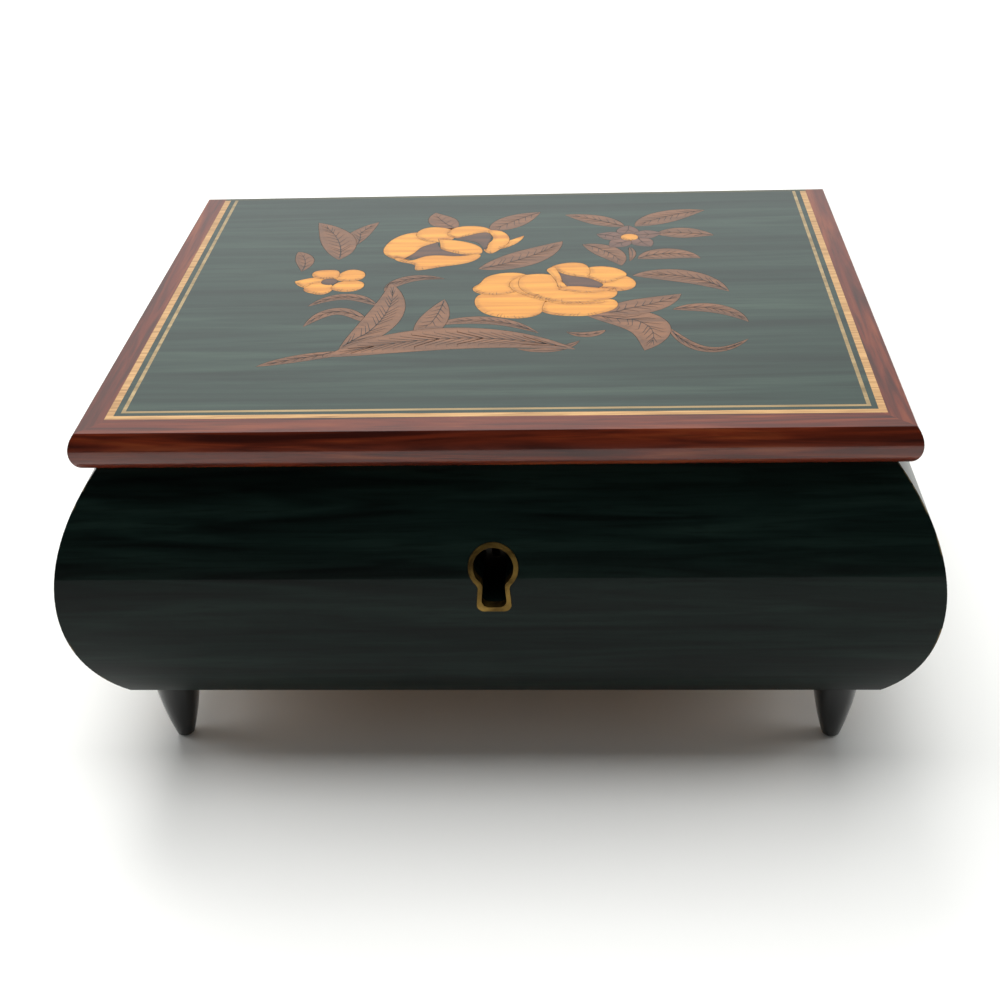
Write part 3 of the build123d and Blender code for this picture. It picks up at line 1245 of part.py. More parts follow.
# Front to back: a piece is cut away where a piece listed before it lies.
inlays = [
    # Large rose: the folded lip, the dark throat, the cup, the bud and the three petals.
    (ROSE, smooth_face, [(10.3, 14.4), (11.4, 15.2), (12.2, 13.2), (13.2, 8.6), (13.9, 5.2),
                         (14.4, 3.4), (13.2, 2.7), (12.3, 5.4), (11.3, 9.0), (10.2, 12.0)]),
    (ROSE, smooth_face, [(13.6, 3.2), (17.5, 3.4), (21.2, 2.5), (25.6, 1.4), (22.0, 0.1),
                         (18.0, -0.2), (14.8, 0.9), (12.6, 2.2)]),
    (HEARTS, smooth_face, [(12.2, 13.0), (13.6, 11.0), (15.8, 9.6), (19.0, 8.4), (21.6, 6.2),
                           (22.8, 3.9), (21.4, 2.3), (17.5, 2.0), (14.0, 2.6), (12.4, 5.6),
                           (11.6, 9.4)]),
    (ROSE, smooth_face, [(11.2, 15.6), (13.2, 17.0), (16.0, 17.6), (18.6, 16.6), (19.6, 14.6),
                         (19.9, 11.2), (18.8, 8.2), (15.2, 9.2), (12.8, 11.6)]),
    (ROSE, smooth_face, [(19.4, 14.2), (21.6, 15.1), (24.8, 14.5), (27.4, 12.4), (28.4, 9.8),
                         (26.6, 7.4), (22.8, 5.2), (20.2, 7.0), (18.6, 9.6)]),
    (ROSE, smooth_face, [(28.0, 9.2), (29.6, 7.4), (30.4, 4.6), (29.4, 1.8), (26.4, 0.4),
                         (23.2, 1.0), (21.8, 3.4), (22.8, 6.4), (25.6, 8.6)]),
    (ROSE, smooth_face, [(5.2, 10.5), (8.4, 11.0), (10.6, 10.4), (12.6, 7.0), (13.6, 3.0),
                         (19.0, 0.6), (25.8, 0.8), (25.4, -2.6), (22.6, -4.6), (18.6, -5.8),
                         (14.6, -5.8), (10.4, -4.2), (6.6, -1.4), (4.2, 2.0), (3.4, 6.0)]),
    (ROSE, smooth_face, [(4.8, 10.6), (2.2, 8.0), (1.3, 4.8), (2.6, 1.4), (5.4, -1.6),
                         (9.0, -4.2), (13.6, -6.4), (18.4, -6.7), (23.0, -5.2), (22.0, -3.6),
                         (16.0, -4.4), (9.0, -2.4), (5.2, 2.0), (4.4, 6.6)]),
    (ROSE, smooth_face, [(5.2, 10.4), (3.0, 11.8), (0.2, 11.9), (-2.6, 10.9), (-4.7, 8.6),
                         (-5.6, 5.8), (-7.0, 3.4), (-6.4, 1.0), (-4.4, -0.4), (0.0, -0.6),
                         (3.6, 1.6), (4.6, 6.0)]),
    (ROSE, smooth_face, [(9.1, -9.4), (8.6, -11.6), (6.4, -13.3), (3.4, -13.9), (0.0, -13.2),
                         (-3.4, -11.2), (-5.4, -8.0), (-6.2, -4.2), (-5.2, -0.6), (-1.0, 0.8),
                         (4.0, 0.4), (9.6, -3.6)]),
    (ROSE, smooth_face, [(9.2, -10.4), (11.2, -12.0), (14.8, -12.9), (18.6, -13.0),
                         (22.4, -11.6), (25.0, -9.6), (26.0, -7.0), (25.0, -4.4), (21.0, -4.6),
                         (14.0, -5.6), (9.4, -5.4)]),
    # Second rose: lower lip, bud, two throats, four petals and the curled tip.
    (SECOND, smooth_face, [(-27.2, 22.4), (-24.4, 19.2), (-21.8, 17.4), (-21.4, 14.8),
                           (-16.4, 15.8), (-10.6, 17.8), (-7.0, 20.8), (-6.4, 23.4),
                           (-10.4, 22.9), (-15.4, 23.2), (-20.2, 22.6), (-22.6, 20.6),
                           (-24.8, 21.2)]),
    (SECOND, smooth_face, [(-16.4, 33.8), (-12.0, 32.6), (-8.2, 30.2), (-6.2, 27.0),
                           (-6.4, 24.2), (-9.4, 23.6), (-13.2, 25.2), (-16.2, 27.8),
                           (-16.6, 30.6)]),
    (HEARTS, smooth_face, [(-17.2, 31.4), (-16.2, 28.0), (-13.2, 25.2), (-8.8, 23.4),
                           (-14.4, 22.8), (-19.6, 22.4), (-24.6, 21.4), (-22.8, 24.6),
                           (-21.4, 28.2), (-19.2, 30.6)]),
    (HEARTS, smooth_face, [(-13.2, 34.4), (-9.6, 36.4), (-5.2, 37.8), (-4.2, 35.2),
                           (-4.8, 30.6), (-5.4, 26.6), (-6.6, 29.6), (-8.8, 32.2)]),
    (SECOND, smooth_face, [(-4.4, 39.6), (-2.0, 38.7), (-0.2, 35.8), (0.2, 31.6), (-1.6, 27.2),
                           (-4.2, 24.2), (-5.6, 26.2), (-4.6, 31.0), (-4.0, 35.6)]),
    (SECOND, smooth_face, [(-14.6, 40.2), (-12.2, 42.3), (-8.8, 42.5), (-5.6, 41.0),
                           (-4.4, 38.4), (-8.2, 36.2), (-12.8, 34.6), (-15.2, 36.6)]),
    (SECOND, smooth_face, [(-22.4, 40.2), (-20.2, 42.0), (-17.0, 41.8), (-14.4, 40.0),
                           (-13.4, 36.6), (-13.8, 33.8), (-17.8, 32.0), (-21.4, 33.6),
                           (-23.0, 36.8)]),
    (SECOND, smooth_face, [(-22.6, 38.8), (-25.4, 38.0), (-28.4, 34.8), (-30.0, 30.4),
                           (-30.2, 26.4), (-28.4, 22.8), (-24.8, 20.8), (-20.6, 24.0),
                           (-17.6, 31.6), (-20.6, 34.4)]),
    (SECOND, leaf_face, [(-2.4, 26.8), (0.6, 30.6), (3.9, 35.4)], 2.6),
    # Small five-petalled flower.
    (HEARTS, round_face, (-41.0, 8.2), 1.9),
    (SMALL, smooth_face, [(-40.6, 9.4), (-42.2, 9.6), (-45.6, 12.0), (-45.2, 14.4),
                          (-42.6, 15.2), (-40.0, 14.8), (-39.2, 12.6)]),
    (SMALL, smooth_face, [(-39.6, 9.6), (-38.8, 13.4), (-36.8, 15.2), (-34.0, 14.2),
                          (-33.0, 11.4), (-34.0, 9.0), (-37.0, 8.2)]),
    (SMALL, smooth_face, [(-39.4, 6.8), (-36.4, 8.6), (-33.2, 7.6), (-32.8, 4.4),
                          (-34.8, 2.4), (-37.8, 2.4), (-40.0, 4.0)]),
    (SMALL, smooth_face, [(-40.6, 6.6), (-39.8, 3.0), (-41.4, 0.8), (-44.2, 1.4),
                          (-46.4, 3.6), (-45.6, 6.2), (-43.0, 7.8)]),
    (SMALL, leaf_face, [(-41.0, 8.0), (-45.0, 7.6), (-49.2, 8.6)], 6.4),
    # Star flower with a pale eye.
    (SMALL, round_face, (star_x, star_y), 2.1),
    *[(STAR, leaf_face, [star_point(angle, 1.2), star_point(angle + 4, 4.9),
                         star_point(angle, 8.4)], 5.4)
      for angle in (18, 90, 162, 234, 306)],
    # Leaves of the upper right spray.
    (LEAVES, leaf_face, [(28.8, 40.2), (23.0, 44.8), (13.9, 49.4)], 6.0),
    (LEAVES, leaf_face, [(31.4, 40.6), (39.0, 46.8), (49.4, 51.2)], 7.6),
    (LEAVES, leaf_face, [(36.4, 35.2), (43.0, 35.8), (50.4, 33.8)], 6.6),
    (LEAVES, leaf_face, [(31.4, 19.4), (38.6, 22.4), (46.2, 19.2)], 6.4),
    (LEAVES, leaf_face, [(18.3, 29.0), (24.0, 24.4), (27.4, 15.4)], 6.4),
    (LEAVES, leaf_face, [(29.6, 27.0), (30.2, 23.0), (29.4, 18.0)], 1.6),
    (LEAVES, leaf_face, [(29.8, 9.2), (40.6, 8.8), (51.2, -0.6)], 7.0),
    (LEAVES, leaf_face, [(-6.4, 14.6), (4.2, 20.8), (13.4, 31.4)], 9.0),
    # Leaves behind the second rose.
    (LEAVES, leaf_face, [(-13.0, 41.6), (-17.4, 46.6), (-19.4, 52.4)], 7.0),
    (LEAVES, leaf_face, [(-4.6, 38.6), (0.6, 45.2), (7.6, 51.6)], 7.6),
    (LEAVES, leaf_face, [(-40.6, 21.6), (-41.6, 31.4), (-49.0, 46.6)], 8.6),
    (LEAVES, leaf_face, [(-39.8, 27.6), (-38.2, 36.0), (-33.4, 46.4)], 5.4),
    (LEAVES, leaf_face, [(-51.2, 27.0), (-48.8, 21.6), (-48.6, 14.6)], 4.4),
    # Right-hand acanthus and its scroll.
    (LEAVES, leaf_face, [(21.6, -9.8), (31.0, -8.2), (40.4, -1.6)], 7.8),
    (LEAVES, leaf_face, [(19.0, -12.8), (31.4, -17.4), (31.0, -31.0)], 10.0),
    (LEAVES, leaf_face, [(38.0, -10.2), (47.0, -9.8), (54.0, -17.2)], 4.6),
    (LEAVES, leaf_face, [(36.6, -19.6), (46.0, -31.0), (53.2, -25.8)], 2.6),
    (LEAVES, leaf_face, [(23.0, -20.6), (18.6, -22.8), (14.6, -21.2)], 2.4),
    # Long stem, bottom leaf and the left-hand acanthus.
    (LEAVES, leaf_face, [(-36.4, -32.4), (-6.0, -23.8), (16.6, -30.0)], 11.0),
    (LEAVES, leaf_face, [(17.4, -25.8), (13.6, -29.2), (4.0, -29.4)], 2.2),
    (LEAVES, leaf_face, [(-50.4, -36.6), (-41.0, -32.6), (-28.0, -30.0)], 3.4),
    (LEAVES, leaf_face, [(-17.6, -25.4), (-14.8, -14.0), (-13.2, -3.0)], 6.6),
    (LEAVES, leaf_face, [(-15.0, -17.0), (-4.0, -14.6), (8.6, -21.8)], 3.8),
    (LEAVES, leaf_face, [(-34.0, -29.8), (-26.6, -14.4), (-26.4, 7.0)], 8.4),
    (LEAVES, leaf_face, [(-27.4, 2.0), (-22.0, 9.2), (-13.9, 8.8)], 3.6),
    (LEAVES, leaf_face, [(-28.4, -6.0), (-36.0, -0.8), (-44.0, -6.0)], 3.4),
    (LEAVES, leaf_face, [(-29.6, -15.4), (-36.8, -8.8), (-43.4, -17.0)], 3.6),
]


def boxes_meet(first, second):
    """Whether two flat outlines' boxes overlap."""
    one, two = first.bounding_box(), second.bounding_box()
    return (one.min.X < two.max.X and two.min.X < one.max.X
            and one.min.Y < two.max.Y and two.min.Y < one.max.Y)


cut_pieces = {name: [] for name in (HEARTS, ROSE, SECOND, SMALL, STAR, LEAVES)}
saw_lines = []
for node, outline, *shape in inlays:
    piece = outline(*shape, 0)
    nearby = [line for line in saw_lines if boxes_meet(line, piece)]
    with BuildSketch() as cut_piece:
        add(piece)
        for line in nearby:
            add(line, mode=Mode.SUBTRACT)
    cut_pieces[node] += [face for face in cut_piece.faces() if face.area > smallest_piece]
    saw_lines.append(outline(*shape, kerf))

for node, faces in cut_pieces.items():
    with BuildPart() as inlay_group:
        for face in faces:
            extrude(face.moved(Location((0, pattern_y, veneer_z))), amount=veneer)
    save(inlay_group, node)

with BuildPart() as lid_field:
    with BuildSketch() as field_plan:
        add(inside_stringing(field_inset, core_back).moved(Location((0, 0, -lid_bottom))))
        for line in saw_lines:
            add(line.moved(Location((0, pattern_y, 0))), mode=Mode.SUBTRACT)
    for face in field_plan.faces():
        if face.area > smallest_piece:
            extrude(face.moved(Location((0, 0, veneer_z))), amount=veneer)
    string_line(dark_inset, string_dark_width)
save(lid_field, "lid_field")
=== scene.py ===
"""Looks of the inlaid, footed wind-up music box: lacquer, marquetry, brass, steel and velvet.

Everything is in metres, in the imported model's frame: +Z up, -Y the front, origin on the floor.
"""
import logging
from dataclasses import dataclass, field
from enum import Enum
from math import cos, pi, radians, sin
from typing import Iterable, Optional

import bmesh
import bpy
from mathutils import Euler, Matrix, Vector


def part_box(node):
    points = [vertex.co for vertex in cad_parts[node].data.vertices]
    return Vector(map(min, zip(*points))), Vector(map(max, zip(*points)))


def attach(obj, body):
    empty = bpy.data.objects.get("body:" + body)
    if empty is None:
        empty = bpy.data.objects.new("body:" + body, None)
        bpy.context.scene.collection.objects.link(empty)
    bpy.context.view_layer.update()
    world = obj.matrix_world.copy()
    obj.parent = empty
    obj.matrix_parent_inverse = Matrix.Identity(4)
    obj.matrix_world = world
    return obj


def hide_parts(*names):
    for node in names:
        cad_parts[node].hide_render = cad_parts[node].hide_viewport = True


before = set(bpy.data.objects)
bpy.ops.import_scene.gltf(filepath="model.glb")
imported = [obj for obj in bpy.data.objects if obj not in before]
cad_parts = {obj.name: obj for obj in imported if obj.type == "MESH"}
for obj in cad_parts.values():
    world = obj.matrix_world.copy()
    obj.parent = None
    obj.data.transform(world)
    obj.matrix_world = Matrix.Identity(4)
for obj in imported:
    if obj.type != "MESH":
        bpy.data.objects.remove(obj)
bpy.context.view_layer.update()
MM = 0.001
log = logging.getLogger("music_box")
Colour = tuple[float, float, float]


class Grain(Enum):
    """Direction that a piece of wood's grain runs in."""

    ACROSS = (0.06, 1.0, 1.0)
    DEEP = (1.0, 0.06, 1.0)
    UPRIGHT = (1.0, 1.0, 0.06)


class Nodes:
    """A material's node tree, with short ways to add what the finishes share."""

    def __init__(self, name: str) -> None:
        """Start an empty material with its shader.

        Args:
            name: the material's name.
        """
        self.material = bpy.data.materials.new(name)
        self.material.use_nodes = True
        self.tree = self.material.node_tree
        self.shader = self.tree.nodes["Principled BSDF"]

    def add(self, kind: str, **values: object) -> bpy.types.Node:
        """Add a node and set its properties.

        Args:
            kind: the node's type name, without its ShaderNode prefix.
            values: properties of the node.

        Returns:
            The new node.
        """
        node = self.tree.nodes.new("ShaderNode" + kind)
        for key, value in values.items():
            setattr(node, key, value)
        return node

    def link(self, source: object, target: object) -> None:
        """Join an output to an input."""
        self.tree.links.new(source, target)

    def place(self, stretch: Iterable[float], seed: float = 0.0) -> object:
        """Object coordinates, stretched along a grain.

        Args:
            stretch: scale along each axis.
            seed: offset that keeps neighbouring pieces apart.

        Returns:
            The vector output.
        """
        coords = self.add("TexCoord")
        mapping = self.add("Mapping")
        mapping.inputs["Scale"].default_value = tuple(stretch)
        mapping.inputs["Location"].default_value = (seed, 1.7 * seed, 2.3 * seed)
        self.link(coords.outputs["Object"], mapping.inputs["Vector"])
        return mapping.outputs["Vector"]

    def noise(self, vector: object, scale: float, detail: float = 4.0,
              distortion: float = 0.0) -> object:
        """Fractal noise.

        Args:
            vector: where to sample.
            scale: features to the metre.
            detail: octaves.
            distortion: swirl.

        Returns:
            The grey output.
        """
        node = self.add("TexNoise")
        node.inputs["Scale"].default_value = scale
        node.inputs["Detail"].default_value = detail
        node.inputs["Distortion"].default_value = distortion
        self.link(vector, node.inputs["Vector"])
        return node.outputs["Fac"]

    def ramp(self, source: object, stops: list[tuple[float, Colour]]) -> object:
        """Colours along a grey value.

        Args:
            source: the grey output.
            stops: place and colour of each stop.

        Returns:
            The colour output.
        """
        node = self.add("ValToRGB")
        elements = node.color_ramp.elements
        while len(elements) < len(stops):
            elements.new(0.5)
        for element, (place, colour) in zip(elements, stops):
            element.position = place
            element.color = (*colour, 1.0)
        self.link(source, node.inputs["Fac"])
        return node.outputs["Color"]

    def span(self, source: object, low: float, high: float,
             start: float = 0.0, end: float = 1.0) -> object:
        """A grey value moved to another range.

        Args:
            source: the grey output.
            low: result at the start.
            high: result at the end.
            start: source value that gives low.
            end: source value that gives high.

        Returns:
            The grey output.
        """
        node = self.add("MapRange")
        for name, value in (("From Min", start), ("From Max", end),
                            ("To Min", low), ("To Max", high)):
            node.inputs[name].default_value = value
        self.link(source, node.inputs["Value"])
        return node.outputs["Result"]

    def blend(self, amount: object, first: object, second: object,
              mode: str = "MIX") -> object:
        """Two colours mixed by a grey value.

        Args:
            amount: the grey output, or a number.
            first: colour output or colour.
            second: colour output or colour.
            mode: the mix's name.

        Returns:
            The colour output.
        """
        node = self.add("Mix", data_type="RGBA", blend_type=mode)
        for socket, value in ((node.inputs[0], amount), (node.inputs[6], first),
                              (node.inputs[7], second)):
            if isinstance(value, (int, float)):
                socket.default_value = value
            elif isinstance(value, tuple):
                socket.default_value = (*value, 1.0)
            else:
                self.link(value, socket)
        return node.outputs[2]

    def bump(self, source: object, depth: float, target: str = "Normal") -> None:
        """Raise the surface by a grey value.

        Args:
            source: the grey output.
            depth: height in metres.
            target: the shader's input.
        """
        node = self.add("Bump")
        node.inputs["Strength"].default_value = 1.0
        node.inputs["Distance"].default_value = depth
        self.link(source, node.inputs["Height"])
        self.link(node.outputs["Normal"], self.shader.inputs[target])

    def set(self, **values: float) -> None:
        """Set constants on the shader's own sockets, underscores standing for spaces."""
        for key, value in values.items():
            self.shader.inputs[key.replace("_", " ")].default_value = value


@dataclass(frozen=True)
class LacqueredWood:
    """Wood with figure under a hard gloss lacquer."""

    name: str
    dark: Colour
    mid: Colour
    light: Colour
    grain: Grain = Grain.ACROSS
    figure: float = 260.0
    pores: float = 1500.0
    swirl: float = 1.2
    coat: float = 1.0
    coat_ior: float = 1.42
    under_gloss: float = 0.15
    roughness: float = 0.34
    wear: float = 0.0
    worn: Colour = (0.30, 0.22, 0.11)
    mitre: float = 0.0
    worn_width: float = 0.00035

    def rubbed(self, nodes: Nodes) -> object:
        """Where the lacquer is rubbed through along the mitred corners.

        Args:
            nodes: the material being made.

        Returns:
            The grey output.
        """
        coords = nodes.add("TexCoord")
        split = nodes.add("SeparateXYZ")
        nodes.link(coords.outputs["Object"], split.inputs[0])
        sides = [nodes.add("Math", operation="ABSOLUTE") for _ in range(2)]
        for side, axis in zip(sides, ("X", "Y")):
            nodes.link(split.outputs[axis], side.inputs[0])
        off = nodes.add("Math", operation="SUBTRACT")
        nodes.link(sides[0].outputs[0], off.inputs[0])
        nodes.link(sides[1].outputs[0], off.inputs[1])
        away = nodes.add("Math", operation="SUBTRACT")
        nodes.link(off.outputs[0], away.inputs[0])
        away.inputs[1].default_value = self.mitre
        near = nodes.add("Math", operation="ABSOLUTE")
        nodes.link(away.outputs[0], near.inputs[0])
        edge = nodes.span(near.outputs[0], 1.0, 0.0, 0.0, self.worn_width)
        patch = nodes.noise(nodes.place((1, 1, 1), seed=0.31), 130.0, 6.0, 0.5)
        both = nodes.add("Math", operation="MULTIPLY")
        nodes.link(edge, both.inputs[0])
        nodes.link(nodes.span(patch, 0.0, self.wear, 0.52, 0.60), both.inputs[1])
        return both.outputs[0]

    def make(self) -> bpy.types.Material:
        """Build the material.

        Returns:
            The finished material.
        """
        nodes = Nodes(self.name)
        along = nodes.place(self.grain.value, seed=len(self.name) * 0.013)
        figure = nodes.noise(along, self.figure, 6.0, self.swirl)
        pores = nodes.noise(along, self.pores, 3.0, 0.2)
        colour = nodes.ramp(figure, [(0.30, self.dark), (0.52, self.mid), (0.74, self.light)])
        streak = nodes.span(pores, 0.0, 0.55, 0.50, 0.72)
        colour = nodes.blend(streak, colour, self.dark)
        if self.wear > 0:
            colour = nodes.blend(self.rubbed(nodes), colour, self.worn)
        nodes.link(colour, nodes.shader.inputs["Base Color"])
        smears = nodes.noise(nodes.place((1, 1, 1), seed=0.9), 70.0, 3.0, 0.4)
        nodes.link(nodes.span(smears, self.roughness - 0.05, self.roughness + 0.08),
                   nodes.shader.inputs["Roughness"])
        nodes.link(nodes.span(smears, 0.025, 0.075, 0.35, 0.7),
                   nodes.shader.inputs["Coat Roughness"])
        nodes.set(Coat_Weight=self.coat, Coat_IOR=self.coat_ior,
                  Specular_IOR_Level=self.under_gloss)
        ripple = nodes.noise(nodes.place((1, 1, 1), seed=0.5), 45.0, 2.0)
        nodes.bump(pores, 0.000012)
        nodes.bump(ripple, 0.00004, "Coat Normal")
        return nodes.material


@dataclass(frozen=True)
class ShadedInlay:
    """Pale veneer with edges scorched brown, under the lid's lacquer."""

    name: str
    pale: Colour
    deep: Colour
    scorched: Colour
    figure: float = 420.0
    tone: str = "shade"

    def make(self) -> bpy.types.Material:
        """Build the material.

        Returns:
            The finished material, which reads each piece's shading from its mesh.
        """
        nodes = Nodes(self.name)
        along = nodes.place(Grain.ACROSS.value, seed=0.2)
        figure = nodes.noise(along, self.figure, 5.0, 0.8)
        colour = nodes.ramp(figure, [(0.32, self.deep), (0.66, self.pale)])
        shade = nodes.add("Attribute", attribute_name=self.tone)
        broken = nodes.noise(nodes.place((1, 1, 1), seed=0.7), 700.0, 3.0)
        reach = nodes.add("Math", operation="MULTIPLY_ADD")
        nodes.link(broken, reach.inputs[0])
        reach.inputs[1].default_value = 0.34
        nodes.link(shade.outputs["Fac"], reach.inputs[2])
        amount = nodes.span(reach.outputs[0], 0.0, 0.9, 0.24, 1.05)
        colour = nodes.blend(amount, colour, self.scorched)
        nodes.link(colour, nodes.shader.inputs["Base Color"])
        nodes.link(nodes.span(figure, 0.30, 0.42), nodes.shader.inputs["Roughness"])
        nodes.set(Coat_Weight=1.0, Coat_Roughness=0.05, Coat_IOR=1.42, Specular_IOR_Level=0.15)
        nodes.bump(figure, 0.00001)
        return nodes.material


@dataclass(frozen=True)
class Metal:
    """Bare metal with brushing and tarnish."""

    name: str
    bright: Colour
    tarnish: Colour
    roughness: float = 0.32
    brushing: Grain = Grain.ACROSS
    tarnished: float = 0.5

    def make(self) -> bpy.types.Material:
        """Build the material.

        Returns:
            The finished material.
        """
        nodes = Nodes(self.name)
        brushed = nodes.noise(nodes.place(self.brushing.value), 3200.0, 4.0)
        cloud = nodes.noise(nodes.place((1, 1, 1), seed=0.4), 240.0, 6.0, 0.5)
        amount = nodes.span(cloud, 0.0, self.tarnished, 0.40, 0.68)
        colour = nodes.blend(amount, self.bright, self.tarnish)
        nodes.link(colour, nodes.shader.inputs["Base Color"])
        nodes.link(nodes.span(brushed, self.roughness - 0.08, self.roughness + 0.14),
                   nodes.shader.inputs["Roughness"])
        nodes.set(Metallic=1.0)
        nodes.bump(brushed, 0.000006)
        return nodes.material


@dataclass(frozen=True)
class Velvet:
    """Short pile cloth that catches the light at its edges."""

    name: str
    deep: Colour
    crest: Colour

    def make(self) -> bpy.types.Material:
        """Build the material.

        Returns:
            The finished material.
        """
        nodes = Nodes(self.name)
        free = nodes.place((1, 1, 1))
        brushed = nodes.noise(free, 55.0, 3.0, 0.8)
        pile = nodes.noise(free, 5200.0, 2.0)
        colour = nodes.ramp(brushed, [(0.35, self.deep), (0.68, self.crest)])
        colour = nodes.blend(nodes.span(pile, 0.0, 0.5), colour, self.deep)
        nodes.link(colour, nodes.shader.inputs["Base Color"])
        nodes.link(nodes.span(brushed, 0.86, 0.98), nodes.shader.inputs["Roughness"])
        nodes.set(Sheen_Weight=0.8, Sheen_Roughness=0.45, Specular_IOR_Level=0.15)
        nodes.shader.inputs["Sheen Tint"].default_value = (*self.crest, 1.0)
        nodes.bump(pile, 0.00012)
        return nodes.material


@dataclass(frozen=True)
class ClearSheet:
    """Clear acrylic with faint scuffs."""

    name: str

    def make(self) -> bpy.types.Material:
        """Build the material.

        Returns:
            The finished material.
        """
        nodes = Nodes(self.name)
        scuffs = nodes.noise(nodes.place((0.2, 1, 1)), 900.0, 5.0)
        nodes.link(nodes.span(scuffs, 0.02, 0.16, 0.5, 0.75), nodes.shader.inputs["Roughness"])
        nodes.set(Transmission_Weight=1.0, IOR=1.49)
        nodes.shader.inputs["Base Color"].default_value = (0.94, 0.97, 0.96, 1.0)
        return nodes.material


@dataclass(frozen=True)
class Moulded:
    """Plain moulded plastic with a fine grain."""

    name: str
    colour: Colour

    def make(self) -> bpy.types.Material:
        """Build the material.

        Returns:
            The finished material.
        """
        nodes = Nodes(self.name)
        grain = nodes.noise(nodes.place((1, 1, 1)), 2600.0, 3.0)
        cloud = nodes.noise(nodes.place((1, 1, 1), seed=0.3), 160.0, 3.0)
        shadow: Colour = tuple(0.86 * part for part in self.colour)
        nodes.link(nodes.blend(cloud, self.colour, shadow), nodes.shader.inputs["Base Color"])
        nodes.link(nodes.span(grain, 0.42, 0.58), nodes.shader.inputs["Roughness"])
        nodes.bump(grain, 0.00001)
        return nodes.material


class Finishes:
    """Every finish on the box, made once."""

    def __init__(self) -> None:
        """Build all the materials."""
        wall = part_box("front_wall")[1].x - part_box("right_wall")[1].y
        green = {"dark": (0.0016, 0.0035, 0.0030), "mid": (0.0042, 0.0105, 0.0085),
                 "light": (0.0085, 0.0190, 0.0150), "coat": 0.22, "coat_ior": 1.40,
                 "under_gloss": 0.05}
        red = {"dark": (0.030, 0.0040, 0.0018), "mid": (0.125, 0.0165, 0.0045),
               "light": (0.235, 0.0500, 0.0120)}
        self.body_across = LacqueredWood("green_lacquer_across", **green, wear=0.9,
                                         mitre=wall).make()
        self.body_deep = LacqueredWood("green_lacquer_deep", **green, grain=Grain.DEEP,
                                       wear=0.9, mitre=wall).make()
        self.field = LacqueredWood("green_burr", (0.0065, 0.0160, 0.0110),
                                   (0.0150, 0.0330, 0.0240), (0.0330, 0.0600, 0.0430),
                                   figure=85.0, pores=900.0, swirl=2.6, roughness=0.40).make()
        self.red_across = LacqueredWood("red_lacquer_across", **red, figure=330.0).make()
        self.red_deep = LacqueredWood("red_lacquer_deep", **red, figure=330.0,
                                      grain=Grain.DEEP).make()
        self.olive = LacqueredWood("olive_lipping", (0.020, 0.020, 0.008),
                                   (0.060, 0.056, 0.022), (0.110, 0.098, 0.040)).make()
        self.cream = LacqueredWood("cream_stringing", (0.300, 0.150, 0.050),
                                   (0.520, 0.290, 0.105), (0.640, 0.380, 0.155),
                                   figure=1100.0).make()
        self.fine_cream = LacqueredWood("fine_stringing", (0.180, 0.120, 0.045),
                                        (0.330, 0.225, 0.095), (0.450, 0.320, 0.150)).make()
        self.black = LacqueredWood("black_lacquer", (0.0010, 0.0014, 0.0014),
                                   (0.0022, 0.0032, 0.0030), (0.0045, 0.0060, 0.0055),
                                   grain=Grain.UPRIGHT).make()
        self.plain = LacqueredWood("plain_wood", (0.170, 0.090, 0.038), (0.340, 0.200, 0.098),
                                   (0.470, 0.300, 0.160), coat=0.0, roughness=0.62).make()
        self.petal = ShadedInlay("yellow_inlay", (0.760, 0.330, 0.034), (0.560, 0.205, 0.018),
                                 (0.170, 0.052, 0.010)).make()
        self.throat = ShadedInlay("dark_inlay", (0.110, 0.044, 0.022), (0.060, 0.024, 0.014),
                                  (0.022, 0.010, 0.007)).make()
        self.leaf = ShadedInlay("leaf_inlay", (0.230, 0.092, 0.036), (0.135, 0.054, 0.022),
                                (0.040, 0.018, 0.010)).make()
        self.star = ShadedInlay("star_inlay", (0.180, 0.078, 0.048), (0.110, 0.048, 0.032),
                                (0.040, 0.019, 0.014)).make()
        self.ink = LacqueredWood("engraved_mastic", (0.012, 0.005, 0.003),
                                 (0.026, 0.011, 0.006), (0.050, 0.022, 0.011),
                                 figure=900.0).make()
        self.old_brass = Metal("old_brass", (0.27, 0.17, 0.045), (0.055, 0.032, 0.011),
                               0.42, tarnished=0.9).make()
        self.brass = Metal("brass", (0.80, 0.58, 0.23), (0.42, 0.27, 0.10), 0.26).make()
        self.steel = Metal("steel", (0.62, 0.61, 0.59), (0.33, 0.31, 0.29), 0.28).make()
        self.blued = Metal("spring_steel", (0.16, 0.17, 0.22), (0.08, 0.07, 0.08), 0.3).make()
        self.lock_steel = Metal("lock_steel", (0.24, 0.22, 0.19), (0.11, 0.10, 0.085),
                                0.52).make()
        self.zinc = Metal("cast_zinc", (0.55, 0.54, 0.51), (0.36, 0.35, 0.33), 0.46).make()
        self.velvet = Velvet("red_velvet", (0.060, 0.0025, 0.0050), (0.300, 0.018, 0.026)).make()
        self.clear = ClearSheet("clear_cover").make()
        self.plastic = Moulded("fly_plastic", (0.78, 0.76, 0.70)).make()


def dress(names: Iterable[str], material: bpy.types.Material, smooth_angle: float = 32.0) -> None:
    """Give carried-over nodes a finish and smooth shading with crisp edges.

    Args:
        names: node names.
        material: the finish.
        smooth_angle: edges sharper than this stay crisp, in degrees.
    """
    for name in names:
        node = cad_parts[name]
        node.data.materials.clear()
        node.data.materials.append(material)
        with bpy.context.temp_override(active_object=node, object=node,
                                       selected_editable_objects=[node],
                                       selected_objects=[node]):
            bpy.ops.object.shade_smooth_by_angle(angle=radians(smooth_angle))
        log.info("dressed %s with %s", name, material.name)


